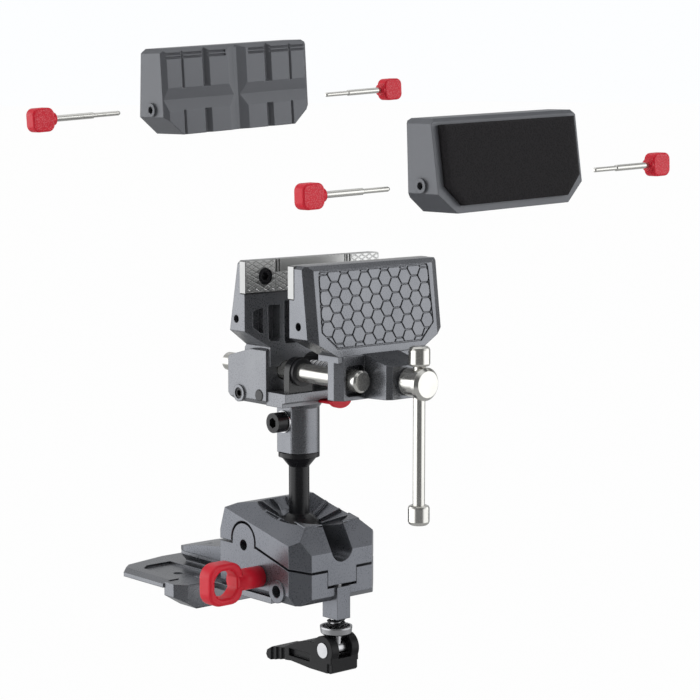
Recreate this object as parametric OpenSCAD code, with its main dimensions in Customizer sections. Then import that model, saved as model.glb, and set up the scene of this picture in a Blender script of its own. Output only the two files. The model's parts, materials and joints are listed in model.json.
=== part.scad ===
// Swivelling bench vise on a ball clamp, with its two slip-on soft jaws and their pins taken off.
// Millimetres, +Z up, X along the jaws, -Y towards the handle.
// The origin is midway between the two bench bolts, on the underside of the bench plate.

/* [Jaws] */
// Width of the two jaw castings
jaw_w = 111; // [104:1:120]
// Gap between the steel jaw faces as shown
jaw_gap = 42; // [38:1:48]
// Height of the jaw tops above the guide rods
jaw_rise = 71.5; // [69:0.5:76]
// Height of the steel jaw faces
face_h = 20.5; // [18:0.5:22]
// Thickness of the steel jaw faces
face_t = 5.5; // [4.5:0.25:6]
// Distance from the post axis forward to the fixed steel face
face_y = 15; // [14:0.5:16]
// Side length of one honeycomb cell
cell_side = 5.5; // [5:0.25:6.5]

/* [Guides and screw] */
// Diameter of the guide rods
rod_d = 12; // [10:0.5:13]
// Spacing of the guide rods
rod_gap = 44; // [43:0.5:46]
// Length of the guide rods behind the post axis
rod_back = 46; // [42:1:52]
// Diameter of the lead screw
screw_d = 10; // [9:0.5:11]
// Diameter of the handle hub
hub_d = 20.5; // [19:0.5:22]
// Length of the sliding handle bar with its caps
bar_len = 111; // [100:1:116]
// Diameter of the sliding handle bar
bar_d = 7.5; // [6.5:0.5:8.5]

/* [Post and ball] */
// Height of the guide rods above the ball centre
post_h = 112; // [108:1:118]
// Outside diameter of the post tube
post_d = 27; // [26:0.5:29]
// Diameter of the neck above the ball
neck_d = 13.5; // [12:0.5:14]
// Diameter of the ball
ball_d = 32; // [30:0.5:32.5]

/* [Ball clamp] */
// Height of the ball centre above the bench
ball_z = 38.5; // [38:0.25:40]
// Width of the ball clamp
base_w = 72; // [70:1:78]
// Distance from the post axis to the front of the clamp
base_front = 43; // [42:0.5:45]
// Distance from the post axis to the back of the clamp
base_back = 40; // [37:0.5:41]
// Length of the cam lever from its pin to its tip
lever_len = 58; // [50:1:62]

/* [Bench plate] */
// Width of the bench plate
bench_w = 122; // [116:1:130]
// Thickness of the bench plate
bench_t = 4.5; // [4:0.25:5]
// Distance from the bolt line forward to the post axis
reach = 86; // [84:1:92]
// Spacing of the two bench bolts
bolt_gap = 70; // [66:1:74]
// Diameter of the bench bolt holes
bolt_d = 6.5; // [5.5:0.25:7]

/* [Soft jaws] */
// Thickness of the foam pads
foam_t = 4.5; // [3:0.5:6]
// Thickness of the sleeve walls
sleeve_wall = 1.75; // [1.5:0.25:2.5]
// Distance from the post axis back to the first sleeve
sleeve_back = 66; // [60:1:80]
// Distance from the post axis forward to the second sleeve
sleeve_front = 131; // [125:1:180]
// Length of the pin shafts
pin_len = 50; // [42:1:52]

/* [Hidden] */
$fn = 64;

// Clearances
run_gap = 0.05;
loose_gap = 0.3;
side_gap = 0.5;
part_gap = 1.6;
over = 1;
tall = 100;

// Heights of the head
rod_z = ball_z + post_h;
jaw_top = rod_z + jaw_rise;
face_z = jaw_top - face_h;
shoulder_z = jaw_top - 44.5;
waist_z = jaw_top - 56;
bed_top = rod_z - 13;
bed_z = rod_z - 22;
block_top = rod_z + 15;

// Places of the jaws, measured from the post axis
waist_w = 70;
block_w = 74;
block_y = -12;
block_back = 27;
bed_y = -30;
back_seat = -face_y + face_t;
move_face = -face_y - jaw_gap;
move_seat = move_face - face_t;
move_front = move_face - 16;
jaw_lean = 7;
chamfer_x = 6.5;
chamfer_y = 3.4;
panel_rim = 2.5;
panel_top = 3.2;
panel_shoulder = 40.6;
panel_bottom = 51.6;
top_bevel_y = 2;
top_bevel_z = 2.4;
first_cell = 5.5;
cell_groove = 0.9;
groove_deep = 0.9;
jaw_pin_d = 5;
jaw_pin_y = 9.5;
jaw_pin_z = jaw_top - 37;
face_screw_x = jaw_w / 2 - 16;
face_screw_z = jaw_top - 10.5;
face_head_d = 10.5;
face_shank_d = 6;
flat_half_w = jaw_w * 0.243;
flat_down = 8;
bush_d = rod_d + 3.5;
bush_front = -31;
bush_back = -22.5;
bush_rim = 2.4;
carrier_d = 19;
carrier_back = -23;
nut_d = 20;
nut_back = 13;

// Release paddle
paddle_w = 21;
paddle_pin_y = -18.5;
paddle_pin_z = bed_z + 2.2;
paddle_pin_d = 2.4;
paddle_pin_half = 16;
paddle_front = -42.5;
paddle_root = bed_y + 6;
paddle_arm_half = 5.5;
paddle_tip_half = 8.2;
paddle_tip_t = 3;

// Hood of the moving jaw
hood_w = 70;
hood_z = bed_top + 1;
hood_back = move_face - 13;
hood_front = move_face - 24;
front_spare = 8;
hood_wall_y = move_face - 16;
hood_side = 3;
boss_w = 29.5;
boss_front = move_face - 47;
head_recess = 5;
recess_in = boss_w / 2 + 0.15;
recess_out = hood_w / 2 - 5.2;
head_out = 7;

// Handle
washer_t = 1.2;
hub_front = boss_front - 19;
hub_back = boss_front - washer_t - loose_gap;
hub_y = hub_front + 8;
hub_rim = 5;
cap_d = 13.4;
cap_h = 12.5;
cap_sink = 4;
cap_bore = 4.1;
bar_top = rod_z + hub_d / 2 + loose_gap + cap_h;
bar_bottom = bar_top - bar_len;
collar_d = 17;
collar_t = 3;

// Post and neck
tube_top = bed_z;
tube_flare = 3.5;
tube_flare_h = 5;
tube_z = ball_z + 55.5;
collar_top = tube_z - loose_gap;
collar_z = collar_top - 3;
cone_z = collar_z - 6.5;
spigot_d = 12;
spigot_top = tube_top - 6;
clamp_z = tube_z + 20.5;
flat_x = post_d / 2 - 0.8;
flat_half = 7;
flat_high = 12;
clamp_d = 8;
clamp_head_d = 13;

// Ball clamp
half_w = base_w / 2;
front_half = half_w - 10.5;
hinge_y = 13.5;
hinge_z = ball_z - 4.3;
ear_r = 11.2;
ear_z = hinge_z + 3;
ear_t = 10;
hinge_d = 7;
hinge_in = 6;
mouth_z = ball_z + 10;
mouth_r = 12;
dish_rim = 3;
dish_r = half_w - dish_rim;
dish_low = 8.6;
dish_deep = 11;
fin_t = 1.8;
fin_h = 2;
base_top = ball_z + 23;
slope_angle = 13.5;
base_z = bench_t + side_gap;
plug_d = 8;
plug_y = -21;
plug_z = 9.5;
plug_in = 6;
plug_boss_d = 15;
plug_boss_out = 0.8;
tongue_w = 24;
tongue_back = -31;
tongue_z = 13;
slot_w = neck_d + 4;
slot_z = ball_z - 2.2;
pillar_w = 11;
pillar_front = -base_front - 1.5;
pillar_back = -30;
pillar_z = -10;
stud_y = -37;
stud_d = 8;
anchor_d = 4;
anchor_z = tongue_z + 5;
spring_d = 12;
wire_d = 1.4;
spring_bottom = -19.3;
spring_turns = 3;
cup_d = 21;
cup_top = -15.5;
cup_z = -20.5;
cam_z = -30.2;
cam_r = 9.4;
cam_pin_d = 10;
cam_half = 11.5;
cam_slot = 11;

// Rail, lock and bench plate
rail_top = 13;
rail_foot = 24;
rail_head = 32;
rail_front = -22;
rail_back = 108;
tail_w = 38;
tail_z = rail_top + loose_gap;
tail_top = 21;
tail_back = 117;
lock_y = -3.5;
lock_z = 16.5;
lock_d = 12;
lock_in = -8;
lock_flat = 3.1;
lock_sink = 6;
ring_x = -half_w - 31.5;
ring_size = 27;
ring_t = 12;
ring_neck_d = 14;
ring_hole = 19;
ring_round = 9;
narrow_w = base_w;
narrow_front = -15;
narrow_rebate = 0.4;
wide_front = 68;
wide_side = 113;
wide_back = 131;
lip_front = 50;
lip_z = -13;
lip_w = bench_w - 2;
recess_deep = 1.6;
lip_screw_x = 27;
lip_screw_y = (wide_front + lip_front) / 2;

// Soft jaws, in a frame at the top middle of the ribbed face
sleeve_fit = 0.6;
sleeve_w = jaw_w + 2 * (sleeve_wall + sleeve_fit) + 6;
sleeve_h = 56;
sleeve_top_t = 16 + 2 * sleeve_wall + 2 * sleeve_fit;
sleeve_lean = jaw_lean;
sleeve_cut = 14;
sleeve_pin_y = sleeve_wall + sleeve_fit + jaw_pin_y;
sleeve_pin_z = -sleeve_wall - sleeve_fit - (jaw_top - jaw_pin_z);
sleeve_1_rise = 135.5;
sleeve_2_rise = 92;
sleeve_1_z = jaw_top + sleeve_1_rise;
sleeve_1_roll = 3.5;
sleeve_2_roll = 2;
sleeve_2_x = 35;
sleeve_2_z = jaw_top + sleeve_2_rise;
foam_cut = 12;
foam_edge = 4;
sleeve_boss_d = 9;
rib_rise = 2.4;
rib_bevel = 3.4;
rib_top = 2.6;
rib_mid_half = 7.7;
rib_mid_deep = 2.9;
rib_crease_z = -33;
rib_crease_half = 7.5;
rib_crease_deep = 2;
rib_wedge_x = 26;
rib_wedge_half = 3;
rib_wedge_deep = 2.4;
rib_thin_x = 45;
rib_thin_half = 1.1;
rib_lines = [-3.8, -6.2];
rib_line_half = 0.9;
pin_d = 4;
pin_sink = 6;
pin_neck_d = 8;
pin_neck = 4;
pin_gap = 26;
pin_head_l = 18;
pin_head_h = 15;
pin_head_t = 9;
pin_head_round = 4.5;

// Release spring; the echo is the least gap between its points on neighbouring turns
spring_steps = 8;
spring_sides = 6;
spring_r = (spring_d - wire_d) / 2;
spring_rings = spring_turns * spring_steps;
spring_pitch = (pillar_z - spring_bottom - wire_d) / spring_turns;
echo(spring_gap = min([
    for (i = [0 : spring_rings - spring_steps], j = [i + spring_steps / 2 : spring_rings])
        norm(spring_point(i) - spring_point(j)) - wire_d]));

// Colours
cast_grey = "#6f7276";
dark_black = "#1d1d1f";
bright_steel = "#c9cbcc";
signal_red = "#c92f3f";
sleeve_grey = "#55575b";

// Everything above the bench plate is drawn from the post axis
module at_post() {
    translate([0, -reach, 0]) children();
}

// Prism along X, centred, from a (y, z) outline
module along_x(w) {
    rotate([90, 0, 90]) linear_extrude(w, center = true) children();
}

// Prism along Y from an (x, z) outline
module along_y(y0, y1) {
    translate([0, y1, 0]) rotate([90, 0, 0]) linear_extrude(y1 - y0) children();
}

// Round bar along X
module bar_x(d, x0, x1) {
    translate([x0, 0, 0]) rotate([0, 90, 0]) cylinder(d = d, h = x1 - x0);
}

// Round bar along Y
module bar_y(d, y0, y1) {
    translate([0, y1, 0]) rotate([90, 0, 0]) cylinder(d = d, h = y1 - y0);
}

// The same thing on both sides
module both_sides() {
    for (side = [-1, 1]) scale_x(side) children();
}

module scale_x(side) {
    if (side < 0) mirror([1, 0, 0]) children();
    else children();
}

// Block from its two opposite corners
module block(a, b) {
    translate(a) cube(b - a);
}

// Outline of both jaws seen from the handle
module jaw_outline(low) {
    w = jaw_w / 2;
    n = waist_w / 2;
    polygon([
        [-w + 2, jaw_top], [w - 2, jaw_top], [w, jaw_top - 2], [w, shoulder_z], [n, waist_z],
        [n, low], [-n, low], [-n, waist_z], [-w, shoulder_z], [-w, jaw_top - 2]
    ]);
}

// Plan of a jaw with chamfered outer corners, swept down a leaning face
module leaning_wall(reach_in) {
    w = jaw_w / 2;
    rotate([-jaw_lean, 0, 0]) translate([0, 0, -tall]) linear_extrude(tall + 10) polygon([
        [-w - over, reach_in], [-w - over, chamfer_y], [-w, chamfer_y], [-w + chamfer_x, 0],
        [w - chamfer_x, 0], [w, chamfer_y], [w + over, chamfer_y], [w + over, reach_in]
    ]);
}

// Holes for the pins that hold a soft jaw
module jaw_pin_holes(y) {
    both_sides() translate([0, y, jaw_pin_z]) bar_x(jaw_pin_d, jaw_w / 2 - 14, jaw_w / 2 + over);
}

// Blind holes for the two screws of a steel face
module face_screw_holes(y0, y1) {
    both_sides() translate([face_screw_x, 0, face_screw_z]) bar_y(face_shank_d + 2 * loose_gap, y0, y1);
}

// Row of deep pockets between the ribs under the fixed steel face
module rib_pockets() {
    k = jaw_w / 111;
    both_sides() {
        rib_pocket(6) polygon([
            [40.4 * k, face_z - 10], [46.5 * k, face_z - 10.8], [48.8 * k, face_z - 12.3],
            [48.8 * k, shoulder_z + 2.2], [43 * k, shoulder_z - 1.6], [40.4 * k, shoulder_z - 2]
        ]);
        rib_pocket(8.5) polygon([
            [26.9 * k, face_z - 8.8], [36 * k, face_z - 8.4], [36.7 * k, face_z - 9.2],
            [36.4 * k, shoulder_z - 5.5], [34.8 * k, shoulder_z - 7.6], [28.4 * k, shoulder_z - 8],
            [27 * k, shoulder_z - 6]
        ]);
        rib_pocket(8.5) polygon([
            [14 * k, face_z - 7], [23 * k, face_z - 6.4], [23.6 * k, face_z - 7.4],
            [23.4 * k, shoulder_z - 8], [22 * k, shoulder_z - 10], [14.6 * k, shoulder_z - 10],
            [14 * k, shoulder_z - 8.5]
        ]);
    }
}

module rib_pocket(deep) {
    along_y(-face_y, -face_y + deep) children();
}

// Fixed jaw, guide block and bed in one casting
module head_body() {
    color(cast_grey) at_post() difference() {
        union() {
            intersection() {
                along_y(-face_y - over, 16) jaw_outline(block_top - 12);
                along_x(jaw_w + 2) polygon([
                    [back_seat, jaw_top], [back_seat + 2, jaw_top], [1, shoulder_z], [12, waist_z - 2],
                    [12, block_top - 12], [-face_y + 1, block_top - 12], [-face_y + 1, face_z - side_gap],
                    [back_seat, face_z - side_gap]
                ]);
            }
            intersection() {
                along_x(block_w) polygon([
                    [block_y, bed_z], [block_back - 5, bed_z], [block_back, bed_z + 5],
                    [block_back, block_top - 9], [block_back - 2, block_top - 7.5], [1, block_top - 1],
                    [block_y, block_top]
                ]);
                along_y(block_y - over, block_back + over) polygon([
                    [-block_w / 2, bed_z + 3], [-block_w / 2 + 3, bed_z], [block_w / 2 - 3, bed_z],
                    [block_w / 2, bed_z + 3], [block_w / 2, block_top - 2], [block_w / 2 - 2.5, block_top],
                    [-block_w / 2 + 2.5, block_top], [-block_w / 2, block_top - 2]
                ]);
            }
            along_x(block_w - 2) polygon([
                [bed_y + 3, bed_z], [block_y + 1, bed_z], [block_y + 1, bed_top], [bed_y, bed_top],
                [bed_y, bed_top - 5.5], [bed_y + 3, bed_top - 6.5]
            ]);
            both_sides() translate([rod_gap / 2, 0, 0]) {
                translate([0, 0, rod_z]) bar_y(carrier_d, bush_front + bush_rim, carrier_back);
                block([-carrier_d / 2, bush_front + bush_rim, bed_top - over],
                    [carrier_d / 2, carrier_back, rod_z]);
            }
            both_sides() translate([0, 15, bed_z + 5.5]) bar_x(11, block_w / 2 - 8, block_w / 2 + 1.2);
        }
        rib_pockets();
        jaw_pin_holes(-face_y + jaw_pin_y);
        face_screw_holes(back_seat - over, back_seat + 3.4);
        both_sides() translate([rod_gap / 2, 0, rod_z]) {
            bar_y(bush_d + 2 * run_gap, bush_front - over, bush_back);
            bar_y(rod_d + 2 * loose_gap, -face_y - over, block_back + over);
        }
        translate([0, 0, rod_z]) {
            bar_y(nut_d + 2 * run_gap, -face_y - over, nut_back);
            bar_y(screw_d + 2, block_y, block_back + over);
        }
        both_sides() translate([0, 15, bed_z + 5.5]) bar_x(7.2, block_w / 2 - 6, block_w / 2 + 3);
        both_sides() translate([0, -5, bed_z + 6]) bar_x(7.5, block_w / 2 - 5, block_w / 2 + 3);
        block([-paddle_w / 2 - side_gap, paddle_root - side_gap, bed_z - over],
            [paddle_w / 2 + side_gap, block_y + 4, bed_z + 6.2]);
        block([-paddle_arm_half - side_gap, bed_y - over, bed_z - over],
            [paddle_arm_half + side_gap, paddle_root, bed_z + 3]);
        translate([0, paddle_pin_y, paddle_pin_z]) paddle_pin_bore();
    }
}

module paddle_pin_bore() {
    end = paddle_pin_half + side_gap;
    bar_x(paddle_pin_d + 2 * run_gap, -end, end);
}

// Red paddle that frees the nut, hinged under the bed, with a rounded tip
module release_paddle() {
    tip_z = bed_z + 3.4;
    color(signal_red) at_post() difference() {
        union() {
            along_x(paddle_w) polygon([
                [paddle_root, bed_z + 0.8], [block_y - 1, bed_z + 0.3], [block_y - 1, bed_z + 4.2],
                [paddle_root + 2.5, bed_z + 4.2], [paddle_root, bed_z + 2.4]
            ]);
            block([-paddle_arm_half, paddle_front + 1, bed_z + 0.8],
                [paddle_arm_half, paddle_root + 1, bed_z + 2.4]);
            along_y(paddle_front, paddle_front + paddle_tip_t) polygon([
                for (a = [180 : 15 : 360]) [paddle_tip_half * cos(a), tip_z + 5 * sin(a)]
            ]);
        }
        translate([0, paddle_pin_y, paddle_pin_z]) paddle_pin_bore();
    }
}

module paddle_pin() {
    color(bright_steel) at_post() translate([0, paddle_pin_y, paddle_pin_z])
        bar_x(paddle_pin_d, -paddle_pin_half, paddle_pin_half);
}

// Steel face in its own frame: outer face at y = 0, body towards +Y
module steel_face() {
    w = jaw_w / 2 + 0.3;
    difference() {
        along_y(0, face_t) polygon([
            [-w, face_z], [w, face_z], [w, jaw_top - 0.6], [w - 1, jaw_top], [-w + 1, jaw_top],
            [-w, jaw_top - 0.6]
        ]);
        both_sides() translate([face_screw_x, 0, face_screw_z]) {
            bar_y(face_head_d + 2 * loose_gap, -over, face_t - 1);
            bar_y(face_shank_d + 2 * loose_gap, 0, face_t + over);
        }
        block([-flat_half_w, -over, jaw_top - flat_down], [flat_half_w, 0.5, jaw_top + over]);
        both_sides() for (x = [flat_half_w + 0.7, flat_half_w + 3.1])
            block([x, -over, jaw_top - flat_down], [x + 1.2, 1, jaw_top + over]);
    }
}

// Two socket screws of a steel face, in the face's own frame
module face_screws() {
    both_sides() translate([face_screw_x, 0, face_screw_z]) difference() {
        union() {
            bar_y(face_head_d, 0.6, face_t - 1);
            bar_y(face_shank_d, face_t - 1 - 0.2, face_t + 3);
        }
        translate([0, 2.6, 0]) rotate([90, 0, 0]) cylinder(d = 5.8, h = 4, $fn = 6);
    }
}

module rear_jaw_face() {
    color(bright_steel) at_post() translate([0, -face_y, 0]) steel_face();
}

module rear_face_screws() {
    color(dark_black) at_post() translate([0, -face_y, 0]) face_screws();
}

module front_jaw_face() {
    color(bright_steel) at_post() translate([0, move_face, 0]) mirror([0, 1, 0]) steel_face();
}

module front_face_screws() {
    color(dark_black) at_post() translate([0, move_face, 0]) mirror([0, 1, 0]) face_screws();
}

// Field of the honeycomb, shrunk by an inset, drawn flat with the jaw top at y = 0
module panel_field(inset) {
    w = jaw_w / 2 - chamfer_x - panel_rim - inset;
    n = waist_w / 2 - inset;
    top = -panel_top - inset;
    low = -panel_shoulder;
    polygon([
        [-w + 2, top], [w - 2, top], [w - 1, top - 2], [w, low], [n, -panel_bottom + inset],
        [-n, -panel_bottom + inset], [-w, low], [-w + 1, top - 2]
    ]);
}

// Honeycomb of shallow grooves inside a groove round the field
module honeycomb() {
    step_x = 1.5 * cell_side;
    step_y = sqrt(3) * cell_side;
    difference() {
        panel_field(0);
        intersection() {
            panel_field(cell_groove);
            for (i = [-6 : 6], j = [-1 : 6])
                translate([i * step_x, -first_cell - (j + (abs(i) % 2) / 2) * step_y])
                    circle(r = cell_side - cell_groove / sqrt(3), $fn = 6);
        }
    }
}

// Moving jaw with its honeycomb front, hood and screw boss
module front_jaw() {
    color(cast_grey) at_post() difference() {
        union() {
            intersection() {
                along_y(boss_front, move_face) jaw_outline(waist_z - 4);
                translate([0, move_front, jaw_top]) leaning_wall(tall);
                along_x(jaw_w + 2) polygon([
                    [move_seat, jaw_top], [move_seat, face_z - side_gap],
                    [move_face - 1, face_z - side_gap],
                    [move_face - 1, shoulder_z], [move_face - 4, waist_z], [move_face - 4, waist_z - 4],
                    [hood_front - front_spare, waist_z - 4], [hood_front - front_spare, jaw_top]
                ]);
            }
            intersection() {
                along_y(hood_front, hood_back) polygon([
                    [-hood_w / 2, hood_z], [hood_w / 2, hood_z], [hood_w / 2, waist_z - 3],
                    [hood_w / 2 - 3, waist_z], [-hood_w / 2 + 3, waist_z], [-hood_w / 2, waist_z - 3]
                ]);
                translate([0, 0, hood_z - over]) linear_extrude(60) polygon([
                    [-hood_w / 2, hood_back], [hood_w / 2, hood_back], [hood_w / 2, hood_front + 5.5],
                    [hood_w / 2 - 3.5, hood_front], [-hood_w / 2 + 3.5, hood_front],
                    [-hood_w / 2, hood_front + 5.5]
                ]);
            }
            intersection() {
                along_x(boss_w) polygon([
                    [hood_front + 1, hood_z + 0.5], [boss_front, hood_z + 1.5],
                    [boss_front, rod_z + 10], [hood_front + 1, rod_z + 16]
                ]);
                translate([0, 0, hood_z - over]) linear_extrude(60) polygon([
                    [-boss_w / 2, hood_front + 2], [boss_w / 2, hood_front + 2],
                    [boss_w / 2, boss_front + 3],
                    [boss_w / 2 - 3, boss_front], [-boss_w / 2 + 3, boss_front],
                    [-boss_w / 2, boss_front + 3]
                ]);
            }
        }
        block([-hood_w / 2 + hood_side, hood_wall_y, hood_z - over],
            [hood_w / 2 - hood_side, hood_back + over, rod_z + 12]);
        translate([0, move_front, jaw_top]) rotate([90 - jaw_lean, 0, 0])
            translate([0, 0, -groove_deep]) linear_extrude(groove_deep + over) honeycomb();
        along_x(jaw_w + 2) polygon([
            [move_front + 2 * top_bevel_y, jaw_top + top_bevel_z],
            [move_front - top_bevel_y, jaw_top - 2 * top_bevel_z],
            [move_front - 3 * top_bevel_y, jaw_top - 2 * top_bevel_z],
            [move_front - 3 * top_bevel_y, jaw_top + top_bevel_z]
        ]);
        both_sides() {
            translate([(recess_in + recess_out) / 2, 0, rod_z])
                along_y(hood_front - over, hood_front + head_recess)
                    rounded(recess_out - recess_in, 19, 3);
            translate([rod_gap / 2, 0, rod_z]) 
                bar_y(rod_d + 2 * run_gap, hood_front - over, hood_wall_y + over);
        }
        translate([0, 0, rod_z]) bar_y(screw_d + 2 * loose_gap, boss_front - over, hood_wall_y + over);
        jaw_pin_holes(move_face - jaw_pin_y);
        face_screw_holes(move_seat - 3.4, move_seat + over);
    }
}

// Guide rod with its polished head at the front
module guide_rod(side) {
    head = rod_d / 2 + 0.9;
    front = hood_front - head_out;
    head_l = head_out + head_recess - loose_gap;
    color(bright_steel) at_post() translate([side * rod_gap / 2, front, rod_z]) rotate([-90, 0, 0])
        rotate_extrude() polygon([
            [0, 0], [head - 1.2, 0], [head, 1.2], [head, head_l],
            [rod_d / 2, head_l], [rod_d / 2, rod_back - front - 1],
            [rod_d / 2 - 1, rod_back - front],
            [0, rod_back - front]
        ]);
}

module guide_rod_left() {
    guide_rod(-1);
}

module guide_rod_right() {
    guide_rod(1);
}

// Sleeve bearing pressed into its carrier on the bed
module guide_bush(side) {
    color(dark_black) at_post() translate([side * rod_gap / 2, 0, rod_z]) difference() {
        union() {
            bar_y(bush_d, bush_front, bush_back - 0.2);
            bar_y(bush_d + 2, bush_front, bush_front + bush_rim);
        }
        bar_y(rod_d + 2 * run_gap, bush_front - over, bush_back + over);
    }
}

module guide_bush_left() {
    guide_bush(-1);
}

module guide_bush_right() {
    guide_bush(1);
}

module lead_nut() {
    color(dark_black) at_post() translate([0, 0, rod_z]) difference() {
        bar_y(nut_d, block_y - 2, nut_back - 0.2);
        bar_y(screw_d + 2 * run_gap, block_y - 4, nut_back + over);
    }
}

// Socket screws in the side bosses of the head
module body_screws() {
    color(dark_black) at_post() both_sides() translate([0, 15, bed_z + 5.5]) difference() {
        bar_x(7, block_w / 2 - 5.8, block_w / 2 + 0.6);
        translate([block_w / 2 - 2, 0, 0]) rotate([0, 90, 0]) cylinder(d = 4.4, h = 4, $fn = 6);
    }
}

module body_plugs() {
    color(dark_black) at_post() both_sides() translate([0, -5, bed_z + 6])
        bar_x(7.3, block_w / 2 - 4.8, block_w / 2 + 0.4);
}

// Threaded spindle with its plain neck
module lead_screw() {
    color(bright_steel) at_post() translate([0, 0, rod_z]) {
        bar_y(screw_d, hub_back - 3, rod_back);
    }
}

module thrust_washer() {
    color(bright_steel) at_post() translate([0, 0, rod_z]) difference() {
        bar_y(collar_d - 1, boss_front - loose_gap / 2 - washer_t, boss_front - loose_gap / 2);
        bar_y(screw_d + 2 * run_gap, boss_front - 4, boss_front + over);
    }
}

module screw_collar() {
    color(dark_black) at_post() translate([0, 0, rod_z]) difference() {
        bar_y(collar_d, hood_wall_y + loose_gap, hood_wall_y + loose_gap + collar_t);
        bar_y(screw_d + 2 * run_gap, hood_wall_y - over, hood_wall_y + 8);
    }
}

// Polished hub that carries the sliding bar
module handle_hub() {
    color(bright_steel) at_post() difference() {
        translate([0, hub_front, rod_z]) rotate([-90, 0, 0]) rotate_extrude() polygon([
            [0, 0], [hub_d / 2 - 2, 0], [hub_d / 2, 2], [hub_d / 2, hub_rim],
            [hub_d / 2 - 1.4, hub_rim + 1.4], [hub_d / 2 - 1.4, hub_back - hub_front - 0.5],
            [hub_d / 2 - 1.9, hub_back - hub_front], [0, hub_back - hub_front]
        ]);
        translate([0, 0, rod_z]) bar_y(screw_d + 2 * run_gap, hub_back - 3, hub_back + over);
        translate([0, hub_y, rod_z - hub_d]) cylinder(d = bar_d + 2 * run_gap, h = 2 * hub_d);
    }
}

module handle_bar() {
    color(bright_steel) at_post() translate([0, hub_y, bar_bottom + cap_h - cap_sink])
        cylinder(d = bar_d, h = bar_len - 2 * (cap_h - cap_sink));
}

// Turned end cap with rounded edges, standing on z = 0, hollowed for the bar
module handle_cap() {
    r = cap_d / 2;
    difference() {
        rotate_extrude() polygon([
            [0, 0], [r - 1.6, 0], [r - 0.5, 0.5], [r, 1.6], [r, cap_h - 2.4], [r - 0.5, cap_h - 1.1],
            [r - 1.5, cap_h - 0.3], [r - 2.6, cap_h], [0, cap_h]
        ]);
        translate([0, 0, -over]) cylinder(d = bar_d + 2 * run_gap, h = cap_bore + over);
    }
}

module handle_cap_top() {
    color(bright_steel) at_post() translate([0, hub_y, bar_top - cap_h]) handle_cap();
}

module handle_cap_bottom() {
    color(bright_steel) at_post() translate([0, hub_y, bar_bottom + cap_h])
        mirror([0, 0, 1]) handle_cap();
}

// Tube of the head that clamps on the spigot of the ball stud
module post_tube() {
    color(cast_grey) at_post() difference() {
        union() {
            translate([0, 0, tube_z]) cylinder(d = post_d, h = tube_top - tube_z);
            translate([0, 0, tube_top - tube_flare_h])
                cylinder(d1 = post_d, d2 = post_d + 2 * tube_flare, h = tube_flare_h);
            block([-flat_x, -flat_half, tube_z], [0, flat_half, clamp_z + flat_high]);
        }
        translate([0, 0, tube_z - over]) 
            cylinder(d = spigot_d + 2 * run_gap, h = spigot_top - tube_z + 2 * over);
        translate([0, 0, clamp_z]) bar_x(clamp_d + 2 * run_gap, -post_d, 0);
        block([-post_d, -flat_half - over, tube_z - over],
            [-flat_x, flat_half + over, clamp_z + flat_high]);
    }
}

module clamp_screw() {
    color(dark_black) at_post() translate([0, 0, clamp_z]) difference() {
        union() {
            bar_x(clamp_d, -flat_x - 1.6, -spigot_d / 2 - loose_gap);
            bar_x(clamp_head_d, -flat_x - 9.4, -flat_x - 1.4);
        }
        translate([-flat_x - 10, 0, 0]) rotate([0, 90, 0]) cylinder(d = 7, h = 4.6, $fn = 6);
    }
}

module clamp_washer() {
    color(bright_steel) at_post() translate([0, 0, clamp_z]) difference() {
        bar_x(clamp_head_d + 1.6, -flat_x - 1.2, -flat_x - 0.01);
        bar_x(clamp_d + 2 * run_gap, -flat_x - 3, 0);
    }
}

// Ball, neck, flared shoulder and spigot turned in one piece
module ball_stud() {
    color(dark_black) at_post() translate([0, 0, ball_z]) union() {
        sphere(d = ball_d);
        rotate_extrude() polygon([
            [0, 0], [neck_d / 2, 0], [neck_d / 2, cone_z - ball_z], [post_d / 2 - 1.5, collar_z - ball_z],
            [spigot_d / 2 - 0.5, collar_z - ball_z], [spigot_d / 2 - 0.5, collar_top - ball_z],
            [spigot_d / 2, collar_top - ball_z], [spigot_d / 2, spigot_top - ball_z - 1.5],
            [spigot_d / 2 - 1.5, spigot_top - ball_z], [0, spigot_top - ball_z]
        ]);
    }
}

module post_collar() {
    color(dark_black) at_post() difference() {
        translate([0, 0, collar_z]) cylinder(d = post_d, h = collar_top - collar_z);
        translate([0, 0, collar_z - over]) cylinder(d = spigot_d, h = 8);
    }
}

// Height of the parting line at a distance y from the post
function part_z(y) = y > 1 ? ball_z - 4
    : y > tongue_back ? ball_z - 4 + (y - 1) * 9 / (1 - tongue_back)
    : ball_z - 13 + (y - tongue_back) * 0.225;

// Plan of the ball clamp with cut corners
module clamp_plan() {
    polygon([
        [-half_w, base_back - 2], [-half_w + 2, base_back], [half_w - 2, base_back],
        [half_w, base_back - 2],
        [half_w, -base_front + 10.5], [front_half, -base_front], [-front_half, -base_front],
        [-half_w, -base_front + 10.5]
    ]);
}

// Round-topped hinge ear between two distances from the middle
module ear_shape(r, x0, x1) {
    translate([0, hinge_y, ear_z]) bar_x(2 * r, x0, x1);
    block([x0, hinge_y - r, part_z(0) - 3], [x1, hinge_y + r, ear_z]);
}

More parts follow.
